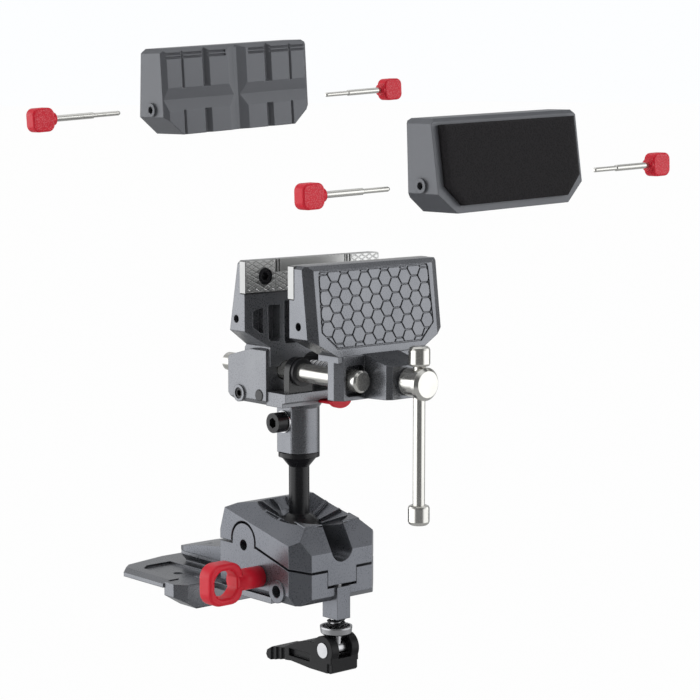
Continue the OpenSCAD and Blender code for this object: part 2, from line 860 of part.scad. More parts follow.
// Upper half of the clamp: sloped top, open mouth, front slot and the tongue for the stud
module base_cap() {
    gap = part_gap / 2;
    color(cast_grey) at_post() difference() {
        union() {
            intersection() {
                linear_extrude(tall) clamp_plan();
                along_x(base_w + 2) polygon([
                    [base_back, part_z(base_back) + gap], [base_back - 7, base_top - 5],
                    [base_back - 13, base_top - 2],
                    [12, base_top], [-base_front + 10, ball_z + 13], [-base_front, ball_z - 4],
                    [-base_front, part_z(-base_front) + gap], [tongue_back, part_z(tongue_back) + gap],
                    [1, part_z(1) + gap]
                ]);
                translate([0, 15, ball_z + 13.5]) rotate([slope_angle, 0, 0]) along_y(-90, 60) polygon([
                    [-half_w, -80], [half_w, -80], [half_w, 0], [half_w - 13, 10], [half_w - 13, 40],
                    [-half_w + 13, 40], [-half_w + 13, 10], [-half_w, 0]
                ]);
            }
            block([-tongue_w / 2, -base_front, tongue_z],
                [tongue_w / 2, tongue_back, part_z(tongue_back) + 2]);
        }
        translate([0, 0, ball_z]) sphere(d = ball_d + 2 * loose_gap);
        translate([0, 0, mouth_z - 2]) cylinder(d1 = 20.4, d2 = 38, h = base_top - mouth_z + 3);
        block([-slot_w / 2, -base_front - over, slot_z], [slot_w / 2, 0, base_top + over]);
        translate([0, 0, slot_z]) bar_y(slot_w, -base_front - over, 0);
        both_sides() {
            ear_shape(ear_r + part_gap, half_w - ear_t - loose_gap, half_w + over);
            translate([0, hinge_y, hinge_z]) bar_x(hinge_d + 2 * run_gap, half_w - 16.2, half_w);
        }
        translate([0, 0, ball_z]) rotate([slope_angle, 0, 0]) {
            translate([0, 0, dish_low + fin_h]) cylinder(r1 = mouth_r, r2 = dish_r, h = dish_deep);
            difference() {
                translate([0, 0, dish_low]) cylinder(r1 = mouth_r, r2 = dish_r, h = dish_deep);
                for (angle = [15 : 30 : 345]) rotate([0, 0, angle])
                    block([0, -fin_t / 2, 0], [dish_r, fin_t / 2, tall]);
            }
        }
        translate([0, stud_y, tongue_z - over]) cylinder(d = stud_d + 2 * run_gap, h = 9.4 + over);
        translate([0, stud_y, anchor_z]) bar_x(anchor_d + 2 * run_gap, -tongue_w, tongue_w);
    }
}

// Lower half of the clamp: ball seat, hinge ears, dovetail channel, lock bore, stud pillar and tail
module base_lower() {
    gap = part_gap / 2;
    color(cast_grey) at_post() difference() {
        union() {
            intersection() {
                linear_extrude(tall) clamp_plan();
                along_x(base_w + 2) polygon([
                    [base_back, base_z], [base_back, part_z(base_back) - gap], [1, part_z(1) - gap],
                    [tongue_back, part_z(tongue_back) - gap], [-base_front, part_z(-base_front) - gap],
                    [-base_front, base_z + 1],
                    [-base_front + 5, 2], [narrow_front - 1, 2], [narrow_front - 1, base_z]
                ]);
                along_y(-base_front - over, base_back + over) polygon([
                    [-half_w, base_z + 3], [-half_w + 4, 0], [half_w - 4, 0], [half_w, base_z + 3],
                    [half_w, 60], [-half_w, 60]
                ]);
            }
            both_sides() {
                ear_shape(ear_r, half_w - ear_t, half_w);
                translate([0, plug_y, plug_z]) bar_x(plug_boss_d, half_w - 4, half_w + plug_boss_out);
            }
            block([-pillar_w / 2, pillar_front, pillar_z],
                [pillar_w / 2, pillar_back, tongue_z - part_gap]);
            intersection() {
                translate([0, 0, tail_z]) linear_extrude(30) union() {
                    block_2d(-tail_w / 2, base_back - 6, tail_w / 2, tail_back - tail_w / 2);
                    translate([0, tail_back - tail_w / 2]) circle(d = tail_w);
                }
                along_x(tail_w + 2) polygon([
                    [base_back - 7, tail_z], [tail_back + 1, tail_z], [tail_back + 1, tail_top - 7.5],
                    [tail_back - 9, tail_top - 5], [84, tail_top - 0.5], [58, tail_top + 2.5],
                    [base_back - 7, tail_top + 9.5]
                ]);
            }
        }
        translate([0, 0, ball_z]) sphere(d = ball_d + 2 * loose_gap);
        block([-tongue_w / 2 - loose_gap, -base_front - over, tongue_z - part_gap],
            [tongue_w / 2 + loose_gap, tongue_back + loose_gap, 60]);
        along_y(rail_front - 2, base_back + over) rail_outline(loose_gap);
        both_sides() translate([0, hinge_y, hinge_z]) bar_x(hinge_d + 2 * run_gap, 0, half_w + over);
        translate([0, lock_y, lock_z]) bar_x(lock_d + 2 * run_gap, -half_w - over, lock_in + 0.4);
        both_sides() translate([0, plug_y, plug_z])
            bar_x(plug_d, half_w - plug_in - plug_d, half_w + plug_boss_out + over);
        translate([0, stud_y, pillar_z - over]) cylinder(d = stud_d + 2 * loose_gap, h = 40);
        both_sides() for (y = [60, 84])
            translate([tail_w / 2 - 8, y, tail_top - 1]) cylinder(d = 6, h = 6);
    }
}

// Flat rectangle with round corners
module rounded(w, h, r) {
    block_2d(-w / 2 + r, -h / 2, w / 2 - r, h / 2);
    block_2d(-w / 2, -h / 2 + r, w / 2, h / 2 - r);
    for (x = [-1, 1], y = [-1, 1]) translate([x * (w / 2 - r), y * (h / 2 - r)]) circle(r = r);
}

module block_2d(x0, y0, x1, y1) {
    translate([x0, y0]) square([x1 - x0, y1 - y0]);
}

// Cross-section of the dovetail rail, grown by a gap for its channel
module rail_outline(grow) {
    polygon([
        [-rail_foot / 2 - grow, bench_t - 2 * grow - 0.2],
        [rail_foot / 2 + grow, bench_t - 2 * grow - 0.2],
        [rail_foot / 2 + grow, bench_t + 1], [rail_head / 2 + grow, rail_top - 3],
        [rail_head / 2 + grow, rail_top + grow],
        [-rail_head / 2 - grow, rail_top + grow], [-rail_head / 2 - grow, rail_top - 3],
        [-rail_foot / 2 - grow, bench_t + 1]
    ]);
}

// Stub pins of the clamp hinge, one in each ear
module hinge_pins() {
    color(dark_black) at_post() both_sides() translate([0, hinge_y, hinge_z])
        bar_x(hinge_d, half_w - 16, half_w - hinge_in);
}

module cross_plugs() {
    color(dark_black) at_post() both_sides() translate([0, plug_y, plug_z])
        bar_x(plug_d - 0.2, half_w - plug_in - plug_d + 0.2, half_w - plug_in);
}

// Draw stud from the tongue of the upper half to the barrel of the cam
module clamp_stud() {
    color(bright_steel) at_post() difference() {
        translate([0, stud_y, cam_z - 3]) cylinder(d = stud_d, h = tongue_z + 9 - cam_z + 3);
        translate([0, stud_y, anchor_z]) bar_x(anchor_d + 2 * run_gap, -stud_d, stud_d);
    }
}

module stud_anchor_pin() {
    color(bright_steel) at_post() translate([0, stud_y, anchor_z])
        bar_x(anchor_d, -tongue_w / 2 + 1, tongue_w / 2 - 1);
}

// Release spring: one unbroken wire wound round the stud
function spring_point(i) = let (a = 360 * i / spring_steps) [
    spring_r * cos(a), spring_r * sin(a), spring_bottom + wire_d / 2 + spring_pitch * i / spring_steps
];
function spring_ring(i) = let (a = 360 * i / spring_steps, c = spring_point(i)) [
    for (k = [0 : spring_sides - 1]) let (b = 360 * k / spring_sides)
        c + wire_d / 2 * [cos(b) * cos(a), cos(b) * sin(a), sin(b)]
];

module release_spring() {
    n = spring_sides;
    points = [for (i = [0 : spring_rings]) each spring_ring(i)];
    sides = [for (i = [0 : spring_rings - 1], k = [0 : n - 1])
        [i * n + k, i * n + (k + 1) % n, (i + 1) * n + (k + 1) % n, (i + 1) * n + k]];
    ends = [[for (k = [n - 1 : -1 : 0]) k], [for (k = [0 : n - 1]) spring_rings * n + k]];
    color(dark_black) at_post() translate([0, stud_y, 0]) polyhedron(points, concat(sides, ends));
}

module cup_washer() {
    color(bright_steel) at_post() translate([0, stud_y, cup_z]) difference() {
        rotate_extrude() polygon([
            [0, 0], [cup_d / 2 - 1.2, 0], [cup_d / 2 - 0.4, 0.8], [cup_d / 2, cup_top - cup_z - 1],
            [cup_d / 2, cup_top - cup_z],
            [cup_d / 2 - 1.4, cup_top - cup_z], [cup_d / 2 - 1.8, 1.15], [0, 1.15]
        ]);
        translate([0, 0, -over]) cylinder(d = stud_d + 2 * loose_gap, h = 8);
    }
}

module cam_barrel_pin() {
    color(bright_steel) at_post() translate([0, stud_y, cam_z]) difference() {
        bar_x(cam_pin_d, -cam_half - 0.4, cam_half + 0.4);
        translate([0, 0, -3.1]) cylinder(d = stud_d, h = 20);
    }
}

// Forked cam lever that swings down from under the clamp, with a ribbed and fluted grip
module cam_lever() {
    tip = lever_len;
    color(dark_black) at_post() translate([0, stud_y, cam_z]) difference() {
        union() {
            bar_x(2 * cam_r, -cam_half, cam_half);
            along_x(2 * cam_half) polygon([
                [-8.4, -4], [-8.4, -13], [-7, -14.3], [13, -14.3], [tip - 26, -13.1], [tip - 17, -14.1],
                [tip - 5, -16.7], [tip - 1.5, -16], [tip, -13.6], [tip - 1, -10.6], [tip - 6, -7.6],
                [tip - 17, -6.2], [tip - 26, -2], [22, 2], [15, 3.4], [8, 3.6]
            ]);
        }
        block([-cam_slot / 2, -20, -5], [cam_slot / 2, 12.5, 20]);
        block([-cam_slot / 2, -4.6, -20], [cam_slot / 2, 12.5, 0]);
        bar_x(cam_pin_d + 2 * run_gap, -cam_half - over, cam_half + over);
        for (x = [-7, -3.5, 0, 3.5, 7])
            along_x_at(x, 1.3) polygon([
                [16, 3.2], [22, 1.5], [tip - 26, -3], [tip - 18, -7], [tip - 18, 6], [16, 6]
            ]);
        both_sides() {
            for (y = [tip - 7, tip - 12.5, tip - 18])
                translate([cam_half + 0.7, y, -tall / 2]) cylinder(d = 4, h = tall);
            block([cam_half - 2.4, 13, -10], [cam_half + over, tip - 24, -5]);
            block([cam_half - 0.8, -20, -tall], [cam_half + over, -4.6, -8]);
        }
    }
}

// Prism along X about a given distance from the middle
module along_x_at(x, w) {
    translate([x, 0, 0]) along_x(w) children();
}

// Steel shaft whose round side locks in the notch of the rail
module lock_shaft() {
    color(bright_steel) at_post() translate([0, lock_y, lock_z]) difference() {
        bar_x(lock_d, -half_w - lock_sink, lock_in);
        block([-rail_head / 2 - 2, lock_flat, -lock_d], [lock_in + over, lock_d, lock_d]);
    }
}

// Red ring that turns the lock shaft
module lock_ring() {
    r = ring_size / 2;
    color(signal_red) at_post() translate([0, lock_y, lock_z]) difference() {
        union() {
            translate([ring_x, 0, 0]) along_y(-ring_t / 2, ring_t / 2)
                rounded(ring_size, ring_size, ring_round);
            bar_x(ring_neck_d, ring_x + r - 4, -half_w - side_gap);
        }
        translate([ring_x, 0, 0]) bar_y(ring_hole, -ring_t, ring_t);
        bar_x(lock_d + 2 * run_gap, -half_w - lock_sink - 4 * run_gap, 0);
    }
}

// Outline of the bench plate, drawn from the post axis
module bench_plan() {
    w = bench_w / 2;
    n = narrow_w / 2;
    polygon([
        [-n, narrow_front], [n, narrow_front], [n, wide_front], [w, wide_front], [w, wide_side],
        [w - 12, wide_side + 11],
        [16, wide_back], [-16, wide_back], [-w + 12, wide_side + 11], [-w, wide_side],
        [-w, wide_front], [-n, wide_front]
    ]);
}

// Bench plate with its dovetail rail, bolt recesses and bevelled sides
module bench_plate() {
    w = bench_w / 2;
    color(cast_grey) difference() {
        at_post() union() {
            linear_extrude(bench_t) bench_plan();
            difference() {
                along_y(rail_front + 8, rail_back) rail_outline(0);
                translate([0, lock_y, lock_z]) bar_x(lock_d + 2 * loose_gap, -rail_head, lock_in + 0.6);
            }
        }
        at_post() block([-bench_w, narrow_front - over, -over], [bench_w, wide_front, narrow_rebate]);
        both_sides() {
            translate([bolt_gap / 2, 0, -over]) cylinder(d = bolt_d, h = bench_t + 2 * over);
            translate([0, 0, bench_t - recess_deep]) linear_extrude(bench_t) polygon([
                [rail_foot / 2 + 9, -reach + wide_front - over], [w - 13, -reach + wide_front - over],
                [w - 13, 22],
                [w - 20, 28], [rail_foot / 2 + 9, 28]
            ]);
            translate([w, 0, bench_t]) rotate([90, 0, 0]) linear_extrude(2 * wide_back, center = true)
                polygon([[-6, 0.01], [0.01, 0.01], [0.01, -1.8]]);
            translate([lip_screw_x, -reach + lip_screw_y, -over]) {
                cylinder(d = 5, h = 20);
                translate([0, 0, over + bench_t - 2.4]) cylinder(d1 = 5, d2 = 9.8, h = 2.41);
            }
        }
    }
}

// Lip that hooks over the front edge of the bench
module edge_lip() {
    w = lip_w / 2;
    n = narrow_w / 2 + loose_gap;
    color(cast_grey) at_post() difference() {
        intersection() {
            along_y(lip_front, wide_front - 0.1) polygon([
                [-w, lip_z + 8], [-w + 13, lip_z], [w - 13, lip_z], [w, lip_z + 8], [w, bench_t - 0.6],
                [n, bench_t - 0.6], [n, narrow_rebate], [-n, narrow_rebate], [-n, bench_t - 0.6],
                [-w, bench_t - 0.6]
            ]);
            translate([0, 0, lip_z - over]) linear_extrude(40) polygon([
                [-w, wide_front], [w, wide_front], [w, lip_front + 8], [w - 6, lip_front],
                [-w + 6, lip_front], [-w, lip_front + 8]
            ]);
        }
        both_sides() translate([lip_screw_x, lip_screw_y, -8]) cylinder(d = 4.2, h = 10);
    }
}

// Countersunk screws that hold the lip to the plate
module lip_screws() {
    color(dark_black) at_post() both_sides() translate([lip_screw_x, lip_screw_y, 0]) difference() {
        rotate_extrude() polygon([
            [0, -7.8], [2, -7.8], [2, bench_t - 2.6], [4.6, bench_t - 0.1], [0, bench_t - 0.1]
        ]);
        translate([0, 0, bench_t - 1.6]) cylinder(d = 3.4, h = 4, $fn = 6);
    }
}

// Outline of a soft jaw from the front, shrunk on every side but the open bottom
module sleeve_outline(inset, bottom) {
    w = sleeve_w / 2 - inset;
    polygon([
        [-w + 3, -inset], [w - 3, -inset], [w, -inset - 3], [w, -sleeve_h + 12],
        [w - sleeve_cut, -bottom],
        [-w + sleeve_cut, -bottom], [-w, -sleeve_h + 12], [-w, -inset - 3]
    ]);
}

// Hollow soft jaw: ribbed hard face at y = 0, leaning back face for the foam
module sleeve() {
    end_wall = (sleeve_w - jaw_w) / 2 - sleeve_fit;
    back = sleeve_top_t;
    drop = sleeve_h * tan(sleeve_lean);
    difference() {
        union() {
            intersection() {
                along_y(-2, back + drop) sleeve_outline(0, sleeve_h);
                along_x(sleeve_w + 2) polygon([
                    [1.2, 0], [back - 1.5, 0], [back, -2], [back + drop - 0.2, -sleeve_h],
                    [0, -sleeve_h], [0, -2]
                ]);
            }
            both_sides() translate([0, sleeve_pin_y, sleeve_pin_z])
                bar_x(sleeve_boss_d, sleeve_w / 2 - 3, sleeve_w / 2 + 1.5);
            ribbed_plate();
        }
        intersection() {
            along_y(0, back + drop) sleeve_outline(end_wall, sleeve_h + over);
            along_x(sleeve_w) polygon([
                [sleeve_wall, over], [back - sleeve_wall, over], [back - sleeve_wall, -sleeve_wall],
                [back - sleeve_wall + drop, -sleeve_h - sleeve_wall],
                [sleeve_wall, -sleeve_h - sleeve_wall]
            ]);
            block([-sleeve_w, -over, -sleeve_h - 9], [sleeve_w, 60, -sleeve_wall - 1]);
        }
        both_sides() translate([0, sleeve_pin_y, sleeve_pin_z])
            bar_x(pin_d + 2 * loose_gap, 0, sleeve_w / 2 + 5);
    }
}

// Upright V groove in the hard face, open at the front
module upright_groove(half, deep) {
    translate([0, -rib_rise, -sleeve_h - over]) linear_extrude(sleeve_h + 2 * over) polygon([
        [-half, -over], [half, -over], [half, 0], [0, deep], [-half, 0]
    ]);
}

// Level V groove in the hard face at a height z
module level_groove(z, half, deep) {
    translate([0, -rib_rise, z]) along_x(sleeve_w + 2) polygon([
        [-over, -half], [0, -half], [deep, 0], [0, half], [-over, half]
    ]);
}

// Hard face of a soft jaw: bevelled plate with a cross of wide grooves and two rows of blocks
module ribbed_plate() {
    w = sleeve_w / 2;
    inner = sleeve_wall - 0.25;
    upper = rib_crease_z + rib_crease_half - 1.5;
    lower = rib_crease_z - rib_crease_half + 1.5;
    difference() {
        intersection() {
            along_y(-rib_rise, inner) sleeve_outline(0, sleeve_h);
            translate([0, 0, -sleeve_h - over]) linear_extrude(sleeve_h + 2 * over) polygon([
                [-w, inner], [-w, 0], [-w + rib_bevel, -rib_rise], [w - rib_bevel, -rib_rise], [w, 0],
                [w, inner]
            ]);
            along_x(sleeve_w + 2) polygon([
                [inner, 0], [0.8, 0], [-rib_rise, -rib_top], [-rib_rise, -sleeve_h], [inner, -sleeve_h]
            ]);
        }
        upright_groove(rib_mid_half, rib_mid_deep);
        level_groove(rib_crease_z, rib_crease_half, rib_crease_deep);
        for (z = rib_lines) difference() {
            level_groove(z, rib_line_half, rib_line_half);
            upright_groove(rib_mid_half + 2, 2 * rib_rise);
        }
        intersection() {
            both_sides() {
                translate([rib_wedge_x, 0, 0]) upright_groove(rib_wedge_half, rib_wedge_deep);
                translate([rib_thin_x, 0, 0]) upright_groove(rib_thin_half, rib_thin_half);
            }
            union() {
                along_x(sleeve_w) polygon([
                    [-rib_rise - over, upper], [inner, upper + 4], [inner, over], [-rib_rise - over, over]
                ]);
                along_x(sleeve_w) polygon([
                    [-rib_rise - over, lower], [inner, lower - 4], [inner, -sleeve_h],
                    [-rib_rise - over, -sleeve_h]
                ]);
            }
        }
    }
}

// Foam pad on the leaning back of a soft jaw
module foam_pad() {
    w = sleeve_w / 2 - foam_edge - 1;
    translate([0, sleeve_top_t, 0]) rotate([sleeve_lean, 0, 0]) translate([0, 0.05, 0])
        along_y(0, foam_t) polygon([
            [-w, -foam_edge], [w, -foam_edge], [w, -sleeve_h + foam_edge + foam_cut],
            [w - foam_cut, -sleeve_h + foam_edge], [-w + foam_cut, -sleeve_h + foam_edge],
            [-w, -sleeve_h + foam_edge + foam_cut]
        ]);
}

module at_sleeve(i) {
    if (i == 1) at_post() translate([0, sleeve_back, sleeve_1_z])
        rotate([0, -sleeve_1_roll, 0]) children();
    else at_post() translate([sleeve_2_x, -sleeve_front, sleeve_2_z])
        rotate([0, sleeve_2_roll, 180]) children();
}

module sleeve_rear() {
    color(sleeve_grey) at_sleeve(1) sleeve();
}

module sleeve_front() {
    color(sleeve_grey) at_sleeve(2) sleeve();
}

module foam_rear() {
    color(dark_black) at_sleeve(1) foam_pad();
}

module foam_front() {
    color(dark_black) at_sleeve(2) foam_pad();
}

// A pin lies outside its sleeve with the tip towards the boss
module at_pin(i) {
    side = i % 2 == 1 ? -1 : 1;
    sleeve_no = i < 3 ? 1 : 2;
    turned = sleeve_no == 1 ? side : -side;
    at_sleeve(sleeve_no) translate([turned * (sleeve_w / 2 + pin_gap), sleeve_pin_y, sleeve_pin_z])
        scale_x(turned) children();
}

module pin_shaft(i) {
    color(bright_steel) at_pin(i) rotate([0, 90, 0]) rotate_extrude() polygon([
        [0, 0], [pin_d / 2 - 1, 0], [pin_d / 2 - 0.5, 1], [pin_d / 2 - 0.5, pin_len * 0.4],
        [pin_d / 2, pin_len * 0.4 + 0.6],
        [pin_d / 2, pin_len + pin_sink], [0, pin_len + pin_sink]
    ]);
}

module pin_head(i) {
    color(signal_red) at_pin(i) difference() {
        translate([pin_len, 0, 0]) union() {
            translate([pin_head_l / 2 + 1, 0, 0]) along_y(-pin_head_t / 2, pin_head_t / 2)
                rounded(pin_head_l - 2, pin_head_h, pin_head_round);
            bar_x(pin_neck_d, 0, pin_neck);
        }
        bar_x(pin_d + 2 * run_gap, 0, pin_len + pin_sink + 2 * run_gap);
    }
}

module pin_shaft_1() { pin_shaft(1); }
module pin_shaft_2() { pin_shaft(2); }
module pin_shaft_3() { pin_shaft(3); }
module pin_shaft_4() { pin_shaft(4); }
module pin_head_1() { pin_head(1); }
module pin_head_2() { pin_head(2); }
module pin_head_3() { pin_head(3); }
module pin_head_4() { pin_head(4); }

bench_plate();
edge_lip();
lip_screws();
base_lower();
base_cap();
hinge_pins();
cross_plugs();
clamp_stud();
stud_anchor_pin();
release_spring();
cup_washer();
cam_barrel_pin();
cam_lever();
lock_ring();
lock_shaft();
ball_stud();
post_collar();
post_tube();
clamp_screw();
clamp_washer();
head_body();
rear_jaw_face();
rear_face_screws();
guide_bush_left();
guide_bush_right();
lead_nut();
body_screws();
body_plugs();
release_paddle();
paddle_pin();
front_jaw();
front_jaw_face();
front_face_screws();
guide_rod_left();
guide_rod_right();
lead_screw();
thrust_washer();
screw_collar();
handle_hub();
handle_bar();
handle_cap_top();
handle_cap_bottom();
sleeve_rear();
sleeve_front();
foam_rear();
foam_front();
pin_shaft_1();
pin_head_1();
pin_shaft_2();
pin_head_2();
pin_shaft_3();
pin_head_3();
pin_shaft_4();
pin_head_4();
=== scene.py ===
import json
import math

import bmesh
import bpy
from mathutils import Matrix, Vector


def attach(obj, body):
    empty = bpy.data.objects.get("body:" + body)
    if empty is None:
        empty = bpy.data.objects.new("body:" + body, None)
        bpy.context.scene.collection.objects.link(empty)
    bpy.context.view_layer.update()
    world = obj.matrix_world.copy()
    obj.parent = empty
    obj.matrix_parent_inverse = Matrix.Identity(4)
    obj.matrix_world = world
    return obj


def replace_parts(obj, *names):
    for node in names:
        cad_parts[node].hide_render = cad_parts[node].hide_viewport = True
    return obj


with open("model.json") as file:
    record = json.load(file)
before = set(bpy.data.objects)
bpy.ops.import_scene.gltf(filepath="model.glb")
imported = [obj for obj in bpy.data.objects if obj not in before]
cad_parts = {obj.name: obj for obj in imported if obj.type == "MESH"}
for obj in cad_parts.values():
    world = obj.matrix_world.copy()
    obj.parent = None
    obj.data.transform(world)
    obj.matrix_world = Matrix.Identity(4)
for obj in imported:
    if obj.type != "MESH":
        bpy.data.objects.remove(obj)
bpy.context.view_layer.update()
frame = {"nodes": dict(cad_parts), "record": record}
cadNodes = frame["nodes"]
slotOf = {row["node"]: row["material_slot"] for row in frame["record"]["subparts"]}
mm = 0.001
print("frame:", len(cadNodes), "solids")


class Wire:
    # an output socket; sums on it add Math nodes to its own tree
    def __init__(self, finish, socket):
        self.finish = finish
        self.socket = socket

    def sum(self, operation, first, second):
        return self.finish.node("ShaderNodeMath", {"operation": operation}, {0: first, 1: second})

    def __add__(self, other):
        return self.sum("ADD", self, other)

    def __radd__(self, other):
        return self.sum("ADD", other, self)

    def __sub__(self, other):
        return self.sum("SUBTRACT", self, other)

    def __rsub__(self, other):
        return self.sum("SUBTRACT", other, self)

    def __mul__(self, other):
        return self.sum("MULTIPLY", self, other)

    def __rmul__(self, other):
        return self.sum("MULTIPLY", other, self)


class Finish:
    # one node tree, for a material or the world
    def __init__(self, owner):
        self.owner = owner
        owner.use_nodes = True
        self.tree = owner.node_tree
        self.tree.nodes.clear()

    def feed(self, socket, value):
        if isinstance(value, Wire):
            self.tree.links.new(value.socket, socket)
        else:
            socket.default_value = value

    def node(self, kind, settings=None, sockets=None, out=0):
        made = self.tree.nodes.new(kind)
        for key, value in (settings or {}).items():
            setattr(made, key, value)
        for key, value in (sockets or {}).items():
            self.feed(made.inputs[key], value)
        return None if out is None else Wire(self, made.outputs[out])

    def place(self, stretch=(1, 1, 1)):
        where = self.node("ShaderNodeTexCoord", out="Object")
        if stretch == (1, 1, 1):
            return where
        return self.node("ShaderNodeVectorMath", {"operation": "MULTIPLY"}, {0: where, 1: stretch})

    def noise(self, scale, detail, stretch=(1, 1, 1)):
        return self.node("ShaderNodeTexNoise", {},
                         {"Vector": self.place(stretch), "Scale": scale, "Detail": detail})

    def cells(self, scale):
        return self.node("ShaderNodeTexVoronoi", {}, {"Vector": self.place(), "Scale": scale}, "Distance")

    def fade(self, value, low, high, start=0.0, end=1.0):
        return self.node("ShaderNodeMapRange", {"interpolation_type": "SMOOTHSTEP"},
                         {"Value": value, "From Min": low, "From Max": high,
                          "To Min": start, "To Max": end})

    def mix(self, share, first, second):
        return self.node("ShaderNodeMix", {"data_type": "RGBA"}, {0: share, 6: first, 7: second}, 2)

    def softNormal(self, radius):
        return self.node("ShaderNodeBevel", {"samples": 6}, {"Radius": radius})

    def edges(self, soft):
        # 0 on flats, rising where the softened normal leaves the true one
        flat = self.node("ShaderNodeNewGeometry", out="Normal")
        along = self.node("ShaderNodeVectorMath", {"operation": "DOT_PRODUCT"}, {0: soft, 1: flat}, "Value")
        return self.fade(1 - along, 0.01, 0.2)

    def hollows(self, reach):
        # 0 in the open, rising to 1 deep in a hollow; the finishes use it to paint shade into hollows
        reached = self.node("ShaderNodeAmbientOcclusion", {"samples": 6, "only_local": True},
                            {"Distance": reach}, "AO")
        return 1 - reached

    def within(self, box):
        # 1 inside a box of object coordinates, alike on both sides of the middle plane
        share, soft = 1.0, 0.1 * mm
        for axis, (low, high) in zip("XYZ", box):
            value = self.node("ShaderNodeSeparateXYZ", {}, {0: self.place()}, axis)
            if axis == "X":
                value = self.node("ShaderNodeMath", {"operation": "ABSOLUTE"}, {0: value})
            share = share * (self.fade(value, low - soft, low) * self.fade(value, high, high + soft, 1, 0))
        return share

    def facing(self, axis, start, end):
        # 1 where the object's own normal lies along an axis
        normal = self.node("ShaderNodeTexCoord", out="Normal")
        value = self.node("ShaderNodeSeparateXYZ", {}, {0: normal}, axis)
        return self.fade(self.node("ShaderNodeMath", {"operation": "ABSOLUTE"}, {0: value}), start, end)

    def bump(self, height, depth, strength, normal):
        return self.node("ShaderNodeBump", {},
                         {"Height": height, "Distance": depth, "Strength": strength, "Normal": normal})

    def surface(self, tone, rough, normal, others):
        sockets = {"Base Color": tone, "Roughness": rough, "Normal": normal, **others}
        shader = self.node("ShaderNodeBsdfPrincipled", {}, sockets)
        self.node("ShaderNodeOutputMaterial", {}, {"Surface": shader}, None)
        return self.owner


def newFinish(name):
    return Finish(bpy.data.materials.new(name))


def rgb(red, green, blue):
    return (red, green, blue, 1.0)


def sway(noise, amount):
    # a noise swung to both sides of zero
    return (noise - 0.5) * amount


# satin grey coat over a cast grain
castLook = {"deep": rgb(0.170, 0.175, 0.190), "pale": rgb(0.198, 0.203, 0.218),
            "paleWearAndHighlight": rgb(0.32, 0.325, 0.34), "dark": rgb(0.04, 0.04, 0.044), "metal": 0.80, "rough": 0.29,
            "roughGrain": 0.16, "roughDrift": 0.08, "roughEdge": 0.05, "drift": 45, "driftSpan": (0.3, 0.7),
            "grain": 1150, "grainSpan": (0.35, 0.75), "grainShare": 0.14, "speck": 920, "speckShare": 0.6,
            "wear": 320, "wearSpan": (0.35, 0.6), "wearHighlightShare": 0.45, "hollow": 5 * mm, "hollowShare": 0.5,
            "depth": 0.10 * mm, "bump": 0.12, "edge": 0.7 * mm}
# the body is a little paler than the jaw, and the clamp less bright
bodyLook = {**castLook, "deep": rgb(0.200, 0.205, 0.220), "pale": rgb(0.230, 0.235, 0.250), "metal": 0.60}
clampLook = {**castLook, "deep": rgb(0.138, 0.145, 0.164), "pale": rgb(0.160, 0.167, 0.187), "metal": 0.62}
# carriers of the rod bushes, in the body's own casting, coloured black: partly their own black, partly
# painted shade under the jaws
carrierBlackAndShade = {"box": ((12.4 * mm, 31.6 * mm), (-114.8 * mm, -108.8 * mm), (137.6 * mm, 161 * mm)),
               "colour": rgb(0.012, 0.012, 0.013)}


def castFinish(name, look, black=None):
    f = newFinish(name)
    soft = f.softNormal(look["edge"])
    edge = f.edges(soft)
    drift = f.noise(look["drift"], 3)
    grain = f.noise(look["grain"], 2)
    speck = f.cells(look["speck"])
    chips = f.fade(f.noise(look["wear"], 3), *look["wearSpan"])
    tone = f.mix(f.fade(drift, *look["driftSpan"]), look["deep"], look["pale"])
    tone = f.mix(f.fade(grain, *look["grainSpan"]) * look["grainShare"], tone, look["paleWearAndHighlight"])
    # paler edges, patchy with the wear noise: partly edge wear, partly a painted edge highlight
    tone = f.mix(edge * chips * look["wearHighlightShare"], tone, look["paleWearAndHighlight"])
    # painted shade: the coat darkens towards the dark tone deep in hollows and pockets
    tone = f.mix(f.hollows(look["hollow"]) * look["hollowShare"], tone, look["dark"])
    rough = look["rough"] + sway(grain, look["roughGrain"]) + sway(drift, look["roughDrift"])
    rough = rough - edge * look["roughEdge"]
    normal = f.bump(grain + speck * look["speckShare"], look["depth"], look["bump"], soft)
    metal = look["metal"]
    if black:
        # the carrier box is painted black and bare of metal: partly its own black, partly painted shade
        inside = f.within(black["box"])
        tone = f.mix(inside, tone, black["colour"])
        metal = metal * (1 - inside)
    return f.surface(tone, rough, normal, {"Metallic": metal})


# black oxide on turned steel
oxideLook = {"colour": rgb(0.013, 0.013, 0.015), "paleWearAndHighlight": rgb(0.09, 0.09, 0.095),
             "gloss": 0.30, "rough": 0.28, "roughSmear": 0.14, "roughRings": 0.08,
             "smear": 130, "wearSpan": (0.4, 0.6), "wearHighlightShare": 0.5, "rings": 60, "stretch": (0.6, 0.6, 40),
             "grain": 2200, "grainShare": 0.5, "depth": 0.03 * mm, "bump": 0.18, "edge": 0.4 * mm}


def oxideFinish(look):
    f = newFinish("blackOxide")
    soft = f.softNormal(look["edge"])
    edge = f.edges(soft)
    smear = f.noise(look["smear"], 4)
    rings = f.noise(look["rings"], 2, look["stretch"])
    # paler edges, patchy with the smear noise: partly edge wear, partly a painted edge highlight
    tone = f.mix(edge * f.fade(smear, *look["wearSpan"]) * look["wearHighlightShare"], look["colour"], look["paleWearAndHighlight"])
    rough = look["rough"] + sway(smear, look["roughSmear"]) + sway(rings, look["roughRings"])
    height = rings + f.noise(look["grain"], 1) * look["grainShare"]
    normal = f.bump(height, look["depth"], look["bump"], soft)
    return f.surface(tone, rough, normal, {"Specular IOR Level": look["gloss"]})


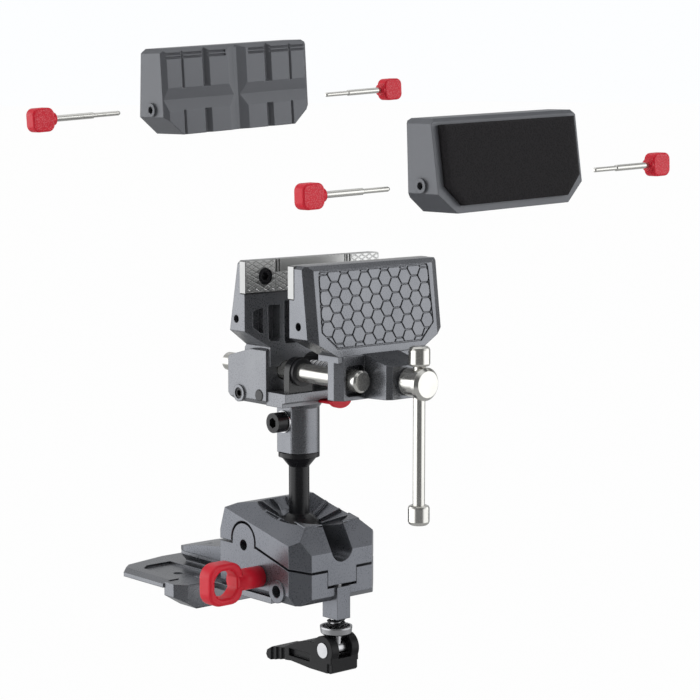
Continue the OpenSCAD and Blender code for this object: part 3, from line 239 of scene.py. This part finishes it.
# black glass-filled plastic, duller on the lever
blackLooks = {
    "blackPlastic": {"colour": rgb(0.020, 0.020, 0.022), "pale": rgb(0.032, 0.032, 0.035),
                     "paleWearAndHighlight": rgb(0.08, 0.08, 0.085), "gloss": 0.45, "rough": 0.36, "edge": 0.8 * mm},
    "leverPlastic": {"colour": rgb(0.007, 0.007, 0.008), "pale": rgb(0.013, 0.013, 0.014),
                     "paleWearAndHighlight": rgb(0.06, 0.06, 0.063), "gloss": 0.16, "rough": 0.34, "edge": 1.1 * mm},
}
mouldGrain = {"grain": 1600, "smear": 90, "roughGrain": 0.12, "roughSmear": 0.1, "wearHighlightShare": 0.25,
              "depth": 0.06 * mm, "bump": 0.25}


def blackFinish(name, look):
    f = newFinish(name)
    soft = f.softNormal(look["edge"])
    grain = f.noise(mouldGrain["grain"], 2)
    smear = f.noise(mouldGrain["smear"], 3)
    tone = f.mix(smear, look["colour"], look["pale"])
    # paler edges: partly edge wear, partly a painted edge highlight
    tone = f.mix(f.edges(soft) * mouldGrain["wearHighlightShare"], tone, look["paleWearAndHighlight"])
    rough = look["rough"] + sway(grain, mouldGrain["roughGrain"]) + sway(smear, mouldGrain["roughSmear"])
    normal = f.bump(grain, mouldGrain["depth"], mouldGrain["bump"], soft)
    return f.surface(tone, rough, normal, {"Specular IOR Level": look["gloss"]})


# bright steels: turned, ground and polished
steelLooks = {
    "plainSteel": {"colour": rgb(0.44, 0.44, 0.45), "dull": rgb(0.34, 0.34, 0.35), "rough": 0.24,
                   "metal": 1.0, "stretch": (40, 1, 1), "lines": 140, "edge": 0.25 * mm},
    "jawSteel": {"colour": rgb(0.40, 0.40, 0.395), "dull": rgb(0.33, 0.33, 0.325), "rough": 0.31,
                 "metal": 1.0, "stretch": (0.12, 1, 1), "lines": 2600, "edge": 0.35 * mm},
    # the knurled pads: a paler copy of the jaw steel, with the light that the knurl catches painted into
    # its colour
    "knurlSteel": {"colour": rgb(0.68, 0.68, 0.67), "dull": rgb(0.56, 0.56, 0.55), "rough": 0.40,
                   "metal": 1.0, "stretch": (1, 1, 1), "lines": 900, "edge": 0.1 * mm},
    "polishedSteel": {"colour": rgb(0.68, 0.67, 0.635), "dull": rgb(0.62, 0.61, 0.575), "rough": 0.15,
                      "metal": 0.85, "stretch": (1, 1, 1), "lines": 160, "edge": 0.3 * mm},
}
steelWear = {"smear": 75, "smearSpan": (0.35, 0.7), "smearShare": 0.5, "lineShare": 0.25,
             "roughBase": 0.8, "roughLines": 0.25, "roughSmear": 0.2, "depth": 0.02 * mm, "bump": 0.5}


def steelFinish(name, look):
    f = newFinish(name)
    soft = f.softNormal(look["edge"])
    lines = f.noise(look["lines"], 3, look["stretch"])
    smear = f.noise(steelWear["smear"], 3)
    dull = f.fade(smear, *steelWear["smearSpan"]) * steelWear["smearShare"]
    dull = dull + sway(lines, steelWear["lineShare"])
    tone = f.mix(dull, look["colour"], look["dull"])
    share = steelWear["roughBase"] + lines * steelWear["roughLines"] + smear * steelWear["roughSmear"]
    rough = look["rough"] * share
    normal = f.bump(lines, steelWear["depth"], look["rough"] * steelWear["bump"], soft)
    return f.surface(tone, rough, normal, {"Metallic": look["metal"]})


# satin red moulding, stippled on the broad faces of the pin heads; the stipple dots are painted paler as a
# highlight
redLook = {"colour": rgb(0.74, 0.010, 0.030), "pale": rgb(0.82, 0.016, 0.038),
           "paleWearAndHighlight": rgb(0.90, 0.09, 0.11), "wearHighlightShare": 0.3, "gloss": 0.35, "rough": 0.40,
           "roughGrain": 0.12, "roughFlow": 0.08, "flow": 70, "stretch": (1, 1, 0.4),
           "grain": 1500, "grainShare": 0.4, "depth": 0.10 * mm, "bump": 0.25, "edge": 0.6 * mm,
           "stipple": 0}
stippleLook = {**redLook, "stipple": 1250, "stippleHighlight": rgb(0.95, 0.26, 0.29), "stippleHighlightShare": 0.6,
               "dotSpan": (0.15, 0.5), "dotFacing": (0.9, 0.99)}


def redFinish(name, look):
    f = newFinish(name)
    soft = f.softNormal(look["edge"])
    grain = f.noise(look["grain"], 2)
    flow = f.noise(look["flow"], 3, look["stretch"])
    tone = f.mix(flow, look["colour"], look["pale"])
    # paler edges: partly edge wear, partly a painted edge highlight
    tone = f.mix(f.edges(soft) * look["wearHighlightShare"], tone, look["paleWearAndHighlight"])
    rough = look["rough"] + sway(grain, look["roughGrain"]) + sway(flow, look["roughFlow"])
    height = grain * look["grainShare"]
    if look["stipple"]:
        # painted highlight: the stipple dots on the broad faces are mixed towards a pale pink
        dots = f.fade(f.cells(look["stipple"]), *look["dotSpan"], 1, 0) * f.facing("Y", *look["dotFacing"])
        tone = f.mix(dots * look["stippleHighlightShare"], tone, look["stippleHighlight"])
        height = height + dots
    normal = f.bump(height, look["depth"], look["bump"], soft)
    return f.surface(tone, rough, normal, {"Specular IOR Level": look["gloss"]})


# dark grey moulding of the slip-on jaws
sleeveLook = {"colour": rgb(0.125, 0.130, 0.143), "pale": rgb(0.150, 0.155, 0.168),
              "paleWearAndHighlight": rgb(0.24, 0.245, 0.26), "dark": rgb(0.04, 0.04, 0.044), "metal": 0.25, "rough": 0.42,
              "roughGrain": 0.14, "roughFlow": 0.06, "flow": 28, "grain": 1300, "wearHighlightShare": 0.55,
              "hollow": 6 * mm, "hollowShare": 0.75, "depth": 0.08 * mm, "bump": 0.3, "edge": 0.8 * mm}


def sleeveFinish(look):
    f = newFinish("sleevePlastic")
    soft = f.softNormal(look["edge"])
    grain = f.noise(look["grain"], 2)
    flow = f.noise(look["flow"], 3)
    tone = f.mix(flow, look["colour"], look["pale"])
    # paler edges: partly edge wear, partly painted highlights along the ridges
    tone = f.mix(f.edges(soft) * look["wearHighlightShare"], tone, look["paleWearAndHighlight"])
    # painted shade: the moulding darkens towards the dark tone deep in the rib grooves and hollows
    tone = f.mix(f.hollows(look["hollow"]) * look["hollowShare"], tone, look["dark"])
    rough = look["rough"] + sway(grain, look["roughGrain"]) + sway(flow, look["roughFlow"])
    normal = f.bump(grain, look["depth"], look["bump"], soft)
    return f.surface(tone, rough, normal, {"Metallic": look["metal"]})


# closed-cell foam: small round cells, open at the cut faces
foamLook = {"colour": rgb(0.013, 0.012, 0.013), "pale": rgb(0.026, 0.024, 0.026), "cell": 900,
            "cellSpan": (0.1, 0.6), "cellShare": 0.7, "bigCell": 315, "bigShare": 0.7, "blotch": 60,
            "blotchShare": 0.4, "rough": 0.85, "roughBlotch": 0.1, "gloss": 0.25,
            "depth": 0.35 * mm, "bump": 0.6, "edge": 0.5 * mm}


def foamFinish(look):
    f = newFinish("cellFoam")
    soft = f.softNormal(look["edge"])
    cell = f.cells(look["cell"])
    big = f.cells(look["bigCell"])
    blotch = f.noise(look["blotch"], 3)
    shade = f.fade(cell, *look["cellSpan"]) * look["cellShare"] + sway(blotch, look["blotchShare"])
    tone = f.mix(shade, look["colour"], look["pale"])
    rough = look["rough"] + sway(blotch, look["roughBlotch"])
    normal = f.bump(cell + big * look["bigShare"], look["depth"], look["bump"], soft)
    return f.surface(tone, rough, normal, {"Specular IOR Level": look["gloss"]})


finishes = {"casting": castFinish("castGrey", castLook), "black_steel": oxideFinish(oxideLook),
            "black_plastic": blackFinish("blackPlastic", blackLooks["blackPlastic"]),
            "red_plastic": redFinish("redPlastic", redLook),
            "sleeve_plastic": sleeveFinish(sleeveLook), "foam": foamFinish(foamLook),
            "plain_steel": steelFinish("plainSteel", steelLooks["plainSteel"]),
            "jaw_steel": steelFinish("jawSteel", steelLooks["jawSteel"]),
            "polished_steel": steelFinish("polishedSteel", steelLooks["polishedSteel"])}

for name, node in cadNodes.items():
    node.data.materials.clear()
    node.data.materials.append(finishes[slotOf[name]])
cadNodes["cam_lever"].data.materials[0] = blackFinish("leverPlastic", blackLooks["leverPlastic"])
cadNodes["head_body"].data.materials[0] = castFinish("bodyGrey", bodyLook, carrierBlackAndShade)
clampGrey = castFinish("clampGrey", clampLook)
for name in ("base_cap", "base_lower"):
    cadNodes[name].data.materials[0] = clampGrey
# a paler copy of the jaw steel for the knurled pads: painted light on the knurl
knurlSteel = steelFinish("knurlSteel", steelLooks["knurlSteel"])
stippledRed = redFinish("stippledRed", stippleLook)
print("finishes:", len(finishes))


def addPiece(name, mesh, body, slot, smooth=True, finish=None):
    piece = bpy.data.objects.new(name, mesh)
    bpy.context.scene.collection.objects.link(piece)
    mesh.materials.append(finish or finishes[slot])
    if smooth:
        mesh.shade_smooth()
    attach(piece, body)
    return piece


def meshFrom(name, points, faces):
    mesh = bpy.data.meshes.new(name)
    mesh.from_pydata(points, [], faces)
    mesh.validate()
    return mesh


# thread of the lead screw, one start
screwLook = {"from": -0.1945, "to": -0.040, "height": 0.1505, "crest": 5.0 * mm, "root": 3.9 * mm,
             "pitch": 4 * mm, "flat": 0.14, "flank": 0.20, "chamfer": 1 * mm, "around": 40, "perTurn": 10,
             "plain": 6 * mm}


def threadRadius(look, y, turn):
    # trapezoid flanks, running out to the crest at both ends
    phase = (y / look["pitch"] - turn) % 1.0
    rise = min(1.0, max(0.0, (abs(phase - 0.5) - look["flat"]) / look["flank"]))
    near = min(y - look["from"], look["to"] - y)
    if near < look["plain"]:
        rise = 1.0
    chamfer = max(0.0, look["chamfer"] - near)
    return look["root"] + (look["crest"] - look["root"]) * rise - chamfer


def leadScrewMesh(look):
    step = look["pitch"] / look["perTurn"]
    rows = int(round((look["to"] - look["from"]) / step))
    points, faces = [], []
    for row in range(rows + 1):
        y = look["from"] + row * step
        for side in range(look["around"]):
            turn = side / look["around"]
            radius = threadRadius(look, y, turn)
            angle = 2 * math.pi * turn
            points.append((radius * math.cos(angle), y, look["height"] + radius * math.sin(angle)))
    count = look["around"]
    for row in range(rows):
        for side in range(count):
            after = (side + 1) % count
            low = row * count
            faces.append((low + side, low + count + side, low + count + after, low + after))
    faces.append(tuple(range(count)))
    faces.append(tuple(reversed(range(rows * count, (rows + 1) * count))))
    return meshFrom("threadedScrew", points, faces)


threadedScrew = addPiece("threaded_screw", leadScrewMesh(screwLook), "screw_set", slotOf["lead_screw"])
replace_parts(threadedScrew, "lead_screw")

# spring under the clamp's tail, wound round the stud
springLook = {"centre": (0.0, -0.123), "low": -0.0193, "high": -0.010, "coil": 5.3 * mm, "wire": 0.7 * mm,
              "turns": 3.0, "perTurn": 40, "sides": 14}


def springMesh(look):
    steps = int(look["turns"] * look["perTurn"])
    low, high = look["low"] + look["wire"], look["high"] - look["wire"]
    points, faces = [], []
    for step in range(steps + 1):
        share = step / steps
        angle = 2 * math.pi * look["turns"] * share
        out = Vector((math.cos(angle), math.sin(angle), 0))
        middle = Vector(look["centre"] + (low + (high - low) * share,)) + out * look["coil"]
        for side in range(look["sides"]):
            tilt = 2 * math.pi * side / look["sides"]
            points.append(middle + (out * math.cos(tilt) + Vector((0, 0, math.sin(tilt)))) * look["wire"])
    count = look["sides"]
    for step in range(steps):
        for side in range(count):
            after = (side + 1) % count
            low = step * count
            faces.append((low + side, low + after, low + count + after, low + count + side))
    faces.append(tuple(reversed(range(count))))
    faces.append(tuple(range(steps * count, (steps + 1) * count)))
    return meshFrom("woundSpring", points, faces)


woundSpring = addPiece("wound_spring", springMesh(springLook), "bench_clamp", slotOf["release_spring"])
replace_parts(woundSpring, "release_spring")

# foam pads inside the slip-on jaws
padLook = {"half": 55.85 * mm, "top": -4 * mm, "corner": -40 * mm, "low": -52 * mm, "lowHalf": 43.85 * mm,
           "thick": 4.5 * mm, "lean": 7, "back": 20.7 * mm, "gap": 0.05 * mm, "round": 0.9 * mm,
           "crown": 0.35 * mm, "crownReach": 9 * mm, "rows": 24}
sleevePlaces = {
    "rear": Matrix.Translation((0, -0.020, 0.3575)) @ Matrix.Rotation(math.radians(-3.5), 4, "Y"),
    "front": (Matrix.Translation((0.035, -0.217, 0.314)) @ Matrix.Rotation(math.radians(180), 4, "Z")
              @ Matrix.Rotation(math.radians(2), 4, "Y")),
}


def padEdge(look, z):
    # half width of the pad at a height, narrowing below its cut corners
    share = max(0.0, (look["corner"] - z) / (look["corner"] - look["low"]))
    return look["half"] - (look["half"] - look["lowHalf"]) * share


def padMesh(look, name):
    shape = bmesh.new()
    columns, rows = look["rows"] * 2, look["rows"]
    layers = []
    for front in (True, False):
        layer = []
        for row in range(rows + 1):
            z = look["top"] + (look["low"] - look["top"]) * row / rows
            half = padEdge(look, z)
            line = []
            for column in range(columns + 1):
                across = 2 * column / columns - 1
                edge = min(half * (1 - abs(across)), look["top"] - z, z - look["low"])
                drop = look["round"] - min(edge, look["round"])
                inset = look["round"] - math.sqrt(max(0.0, look["round"] ** 2 - drop ** 2))
                lift = look["thick"] - inset + look["crown"] * (min(1.0, edge / look["crownReach"]) - 1)
                line.append(shape.verts.new((half * across, lift if front else 0.0, z)))
            layer.append(line)
        layers.append(layer)
    for layer in layers:
        for row in range(rows):
            for column in range(columns):
                shape.faces.new((layer[row][column], layer[row][column + 1],
                                 layer[row + 1][column + 1], layer[row + 1][column]))
    shape.edges.ensure_lookup_table()
    rims = [edge for edge in shape.edges if edge.is_boundary]
    bmesh.ops.bridge_loops(shape, edges=rims)
    bmesh.ops.recalc_face_normals(shape, faces=shape.faces)
    mesh = bpy.data.meshes.new(name)
    shape.to_mesh(mesh)
    shape.free()
    return mesh


for side, place in sleevePlaces.items():
    lean = Matrix.Rotation(math.radians(padLook["lean"]), 4, "X")
    padShape = padMesh(padLook, "foamPad_" + side)
    padShape.transform(place @ Matrix.Translation((0, padLook["back"], 0)) @ lean
                       @ Matrix.Translation((0, padLook["gap"], 0)))
    pad = addPiece("foam_pad_" + side, padShape, "bench_clamp", "foam")
    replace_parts(pad, "foam_" + side)
print("pieces: screw thread, spring, foam pads")

# diamond knurl of the steel faces: flat pads between narrow grooves, clear of the top recess and the screws
knurlLook = {"wide": 6.3 * mm, "high": 3.3 * mm, "groove": 0.22 * mm, "slope": 0.30 * mm, "rise": 0.17 * mm,
             "fields": [(-55.6, 201.7, -31.6, 221.8), (31.6, 201.7, 55.6, 221.8),
                        (-31.6, 201.7, 31.6, 213.8)],
             "screwX": 39.5 * mm, "screwZ": 211.5 * mm, "clear": 6.0 * mm,
             "rows": (("knurl_rear", "vise_head", -101 * mm, -1),
                      ("knurl_front", "moving_jaw", -143 * mm, 1))}


def cutAway(outline, axis, limit, sign):
    # part of a convex outline on one side of a line
    kept = []
    for first, second in zip(outline, outline[1:] + outline[:1]):
        a = sign * (limit - first[axis])
        b = sign * (limit - second[axis])
        if a >= 0:
            kept.append(first)
        if a * b < 0:
            share = a / (a - b)
            kept.append(tuple(first[k] + (second[k] - first[k]) * share for k in (0, 1)))
    return kept


def diamondPads(look):
    halfX, halfZ = look["wide"] / 2, look["high"] / 2
    pads = []
    for field in look["fields"]:
        left, low, right, high = [edge * mm for edge in field]
        for column in range(int(left / halfX) - 1, int(right / halfX) + 2):
            for row in range(int(low / halfZ) - 1, int(high / halfZ) + 2):
                x, z = column * halfX, row * halfZ
                screw = math.hypot(abs(x) - look["screwX"], z - look["screwZ"])
                if (column + row) % 2 or screw < look["clear"]:
                    continue
                pad = [(x - halfX, z), (x, z - halfZ), (x + halfX, z), (x, z + halfZ)]
                for axis, limit, sign in ((0, left, -1), (0, right, 1), (1, low, -1), (1, high, 1)):
                    pad = cutAway(pad, axis, limit, sign)
                if len(pad) > 2:
                    pads.append(pad)
    return pads


def shrunk(outline, inset):
    # drawn in towards its middle by about the inset, never below a fifth
    middleX = sum(point[0] for point in outline) / len(outline)
    middleZ = sum(point[1] for point in outline) / len(outline)
    size = min(math.hypot(point[0] - middleX, point[1] - middleZ) for point in outline)
    share = max(0.2, 1 - inset / max(size, inset))
    return [(middleX + (x - middleX) * share, middleZ + (z - middleZ) * share) for x, z in outline]


def knurlMesh(look, name, planeY, outward):
    points, faces = [], []
    for pad in diamondPads(look):
        foot = shrunk(pad, look["groove"])
        crown = shrunk(pad, look["groove"] + look["slope"])
        base, count = len(points), len(pad)
        points += [(x, planeY, z) for x, z in foot]
        points += [(x, planeY + outward * look["rise"], z) for x, z in crown]
        for corner in range(count):
            after = (corner + 1) % count
            faces.append((base + corner, base + after, base + count + after, base + count + corner))
        faces.append(tuple(range(base + count, base + 2 * count)))
    return meshFrom(name, points, faces)


for name, body, planeY, outward in knurlLook["rows"]:
    addPiece(name, knurlMesh(knurlLook, name, planeY, outward), body, "jaw_steel", False, knurlSteel)
print("pieces: knurled faces")

# red mouldings with rounded rims: the ring of the rail lock and the heads of the pins
ringLook = {"wide": 27 * mm, "high": 27 * mm, "thick": 12 * mm, "corner": 9 * mm, "hole": 9.5 * mm,
            "rim": 1.9 * mm, "neck": 7 * mm, "neckFrom": 9.5 * mm, "neckTo": 31 * mm,
            "place": (-67.5 * mm, -89.5 * mm, 16.5 * mm)}
headLook = {"wide": 16 * mm, "high": 15 * mm, "thick": 9 * mm, "corner": 4.5 * mm, "hole": 0,
            "rim": 1.4 * mm, "neck": 4 * mm, "neckFrom": 6 * mm, "neckTo": 10 * mm, "shift": 1 * mm,
            "rows": ((1, "rear", -1), (2, "rear", 1), (3, "front", 1), (4, "front", -1))}
mouldSteps = {"corner": 10, "rim": 5, "neck": 48}


def roundedOutline(look):
    points, steps = [], mouldSteps["corner"]
    for quarter in range(4):
        for step in range(steps + 1):
            angle = math.radians(90 * (quarter + step / steps))
            sideX = 1 if quarter in (0, 3) else -1
            sideZ = 1 if quarter in (0, 1) else -1
            points.append((sideX * (look["wide"] / 2 - look["corner"]) + look["corner"] * math.cos(angle),
                           sideZ * (look["high"] / 2 - look["corner"]) + look["corner"] * math.sin(angle)))
    return points


def mouldedMesh(look, name):
    shape = bmesh.new()
    outline = roundedOutline(look)
    count = len(outline)
    loops = []
    for side in (-1, 1):
        y = side * look["thick"] / 2
        loops.append([shape.verts.new((x, y, z)) for x, z in outline])
        if look["hole"]:
            inner = []
            for x, z in outline:
                share = look["hole"] / math.hypot(x, z)
                inner.append(shape.verts.new((x * share, y, z * share)))
            loops.append(inner)
    pairs = [(0, 2), (2, 3), (3, 1), (1, 0)] if look["hole"] else [(0, 1)]
    for first, second in pairs:
        for step in range(count):
            after = (step + 1) % count
            shape.faces.new((loops[first][step], loops[first][after],
                             loops[second][after], loops[second][step]))
    if not look["hole"]:
        for loop in loops:
            shape.faces.new(loop)
    rims = []
    for loop in loops:
        rims += [shape.edges.get((loop[step], loop[(step + 1) % count])) for step in range(count)]
    bmesh.ops.recalc_face_normals(shape, faces=shape.faces)
    bmesh.ops.bevel(shape, geom=rims, offset=look["rim"], segments=mouldSteps["rim"], profile=0.5,
                    affect="EDGES")
    middle = (look["neckFrom"] + look["neckTo"]) / 2
    turned = Matrix.Translation((middle, 0, 0)) @ Matrix.Rotation(math.radians(90), 4, "Y")
    bmesh.ops.create_cone(shape, cap_ends=True, segments=mouldSteps["neck"], radius1=look["neck"],
                          radius2=look["neck"], depth=look["neckTo"] - look["neckFrom"], matrix=turned)
    shape.normal_update()
    for face in shape.faces:  # the broad faces and the end of the neck stay flat
        face.smooth = max(abs(face.normal.x), abs(face.normal.y)) < 0.999
    mesh = bpy.data.meshes.new(name)
    shape.to_mesh(mesh)
    shape.free()
    return mesh


def middleOf(name, place):
    # middle of a solid's box, in the frame of a place
    back = place.inverted()
    spots = [back @ (cadNodes[name].matrix_world @ vertex.co) for vertex in cadNodes[name].data.vertices]
    return [(min(spot[k] for spot in spots) + max(spot[k] for spot in spots)) / 2 for k in range(3)]


ringShape = mouldedMesh(ringLook, "moulded_ring")
ringShape.transform(Matrix.Translation(ringLook["place"]))
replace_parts(addPiece("moulded_ring", ringShape, "rail_lock", "red_plastic", smooth=False), "lock_ring")
for number, side, hand in headLook["rows"]:
    place = sleevePlaces[side]
    centre = middleOf("pin_head_%d" % number, place)
    headShape = mouldedMesh(headLook, "moulded_head_%d" % number)
    flip = Matrix.Rotation(math.radians(180), 4, "Z") if hand > 0 else Matrix.Identity(4)
    centre[0] += hand * headLook["shift"]
    headShape.transform(place @ Matrix.Translation(centre) @ flip)
    head = addPiece("moulded_head_%d" % number, headShape, "pin_%d" % number, "red_plastic",
                    False, stippledRed)
    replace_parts(head, "pin_head_%d" % number)
print("pieces: red mouldings")

# studio: white backdrop behind, dark round the camera, soft light left and right
camLook = {"place": (-0.9036, -1.1761, 0.3365), "turn": (82.9, 0, -41), "lens": 113.14, "sensor": 36,
           "reach": 200}
camData = bpy.data.cameras.new("shotCamera")
camData.lens = camLook["lens"]
camData.sensor_width = camLook["sensor"]
camData.clip_end = camLook["reach"]
shotCamera = bpy.data.objects.new("shotCamera", camData)
shotCamera.location = camLook["place"]
shotCamera.rotation_euler = [math.radians(angle) for angle in camLook["turn"]]
bpy.context.scene.collection.objects.link(shotCamera)
bpy.context.scene.camera = shotCamera

studioLook = {
    "tint": rgb(0.98, 0.99, 1.0), "base": 0.09,
    # direction, inner and outer angle, level, then the middle and inner and outer reach of a level band
    "panels": [((-0.78, 0.62, 0.0), 28, 56, 2.15, (0.06, 0.20, 0.55)),
               ((0.68, -0.72, 0.10), 24, 52, 1.75, (0.10, 0.20, 0.55)),
               ((0.65, 0.75, 0.2), 15, 45, 0.45, None), ((0, 0.1, 1), 20, 62, 0.95, None),
               ((0, 0, -1), 66, 84, 0.35, None)],
}


def buildWorld(look):
    world = bpy.data.worlds.new("studio")
    bpy.context.scene.world = world
    f = Finish(world)
    seen = f.node("ShaderNodeLightPath", out="Is Camera Ray")
    towards = f.node("ShaderNodeTexCoord", out="Generated")
    height = f.node("ShaderNodeSeparateXYZ", {}, {0: towards}, "Z")
    level = look["base"]
    for axis, inner, outer, strength, band in look["panels"]:
        direction = Vector(axis).normalized()
        along = f.node("ShaderNodeVectorMath", {"operation": "DOT_PRODUCT"},
                       {0: towards, 1: direction}, "Value")
        panel = f.fade(along, math.cos(math.radians(outer)), math.cos(math.radians(inner)), 0, strength)
        if band:
            off = f.node("ShaderNodeMath", {"operation": "ABSOLUTE"}, {0: height - band[0]})
            panel = panel * f.fade(off, band[1], band[2], 1, 0)
        level = level + panel
    strength = level * (1 - seen) + seen
    light = f.node("ShaderNodeBackground", {}, {"Color": look["tint"], "Strength": strength})
    f.node("ShaderNodeOutputWorld", {}, {"Surface": light}, None)


buildWorld(studioLook)

floorLook = {"height": -0.16, "half": 30, "colour": rgb(0.82, 0.82, 0.82), "seen": 0.97}


def buildFloor(look):
    half, height = look["half"], look["height"]
    corners = [(-half, -half, height), (half, -half, height), (half, half, height), (-half, half, height)]
    floor = bpy.data.objects.new("studioFloor", meshFrom("studioFloor", corners, [(0, 1, 2, 3)]))
    bpy.context.scene.collection.objects.link(floor)
    f = newFinish("paleFloor")
    seen = f.node("ShaderNodeLightPath", out="Is Camera Ray")
    mirrored = f.node("ShaderNodeLightPath", out="Is Glossy Ray")
    matte = f.node("ShaderNodeBsdfDiffuse", {}, {"Color": look["colour"]})
    white = f.node("ShaderNodeEmission", {}, {"Color": rgb(1, 1, 1), "Strength": 1.0})
    shown = f.node("ShaderNodeMixShader", {}, {0: seen * look["seen"], 1: matte, 2: white})
    # mirrored in metal, the floor gives way to the studio round it
    clear = f.node("ShaderNodeBsdfTransparent")
    shown = f.node("ShaderNodeMixShader", {}, {0: mirrored, 1: shown, 2: clear})
    f.node("ShaderNodeOutputMaterial", {}, {"Surface": shown}, None)
    floor.data.materials.append(f.owner)


buildFloor(floorLook)

bpy.context.scene.view_settings.view_transform = "Standard"
print("studio: camera, floor, light")
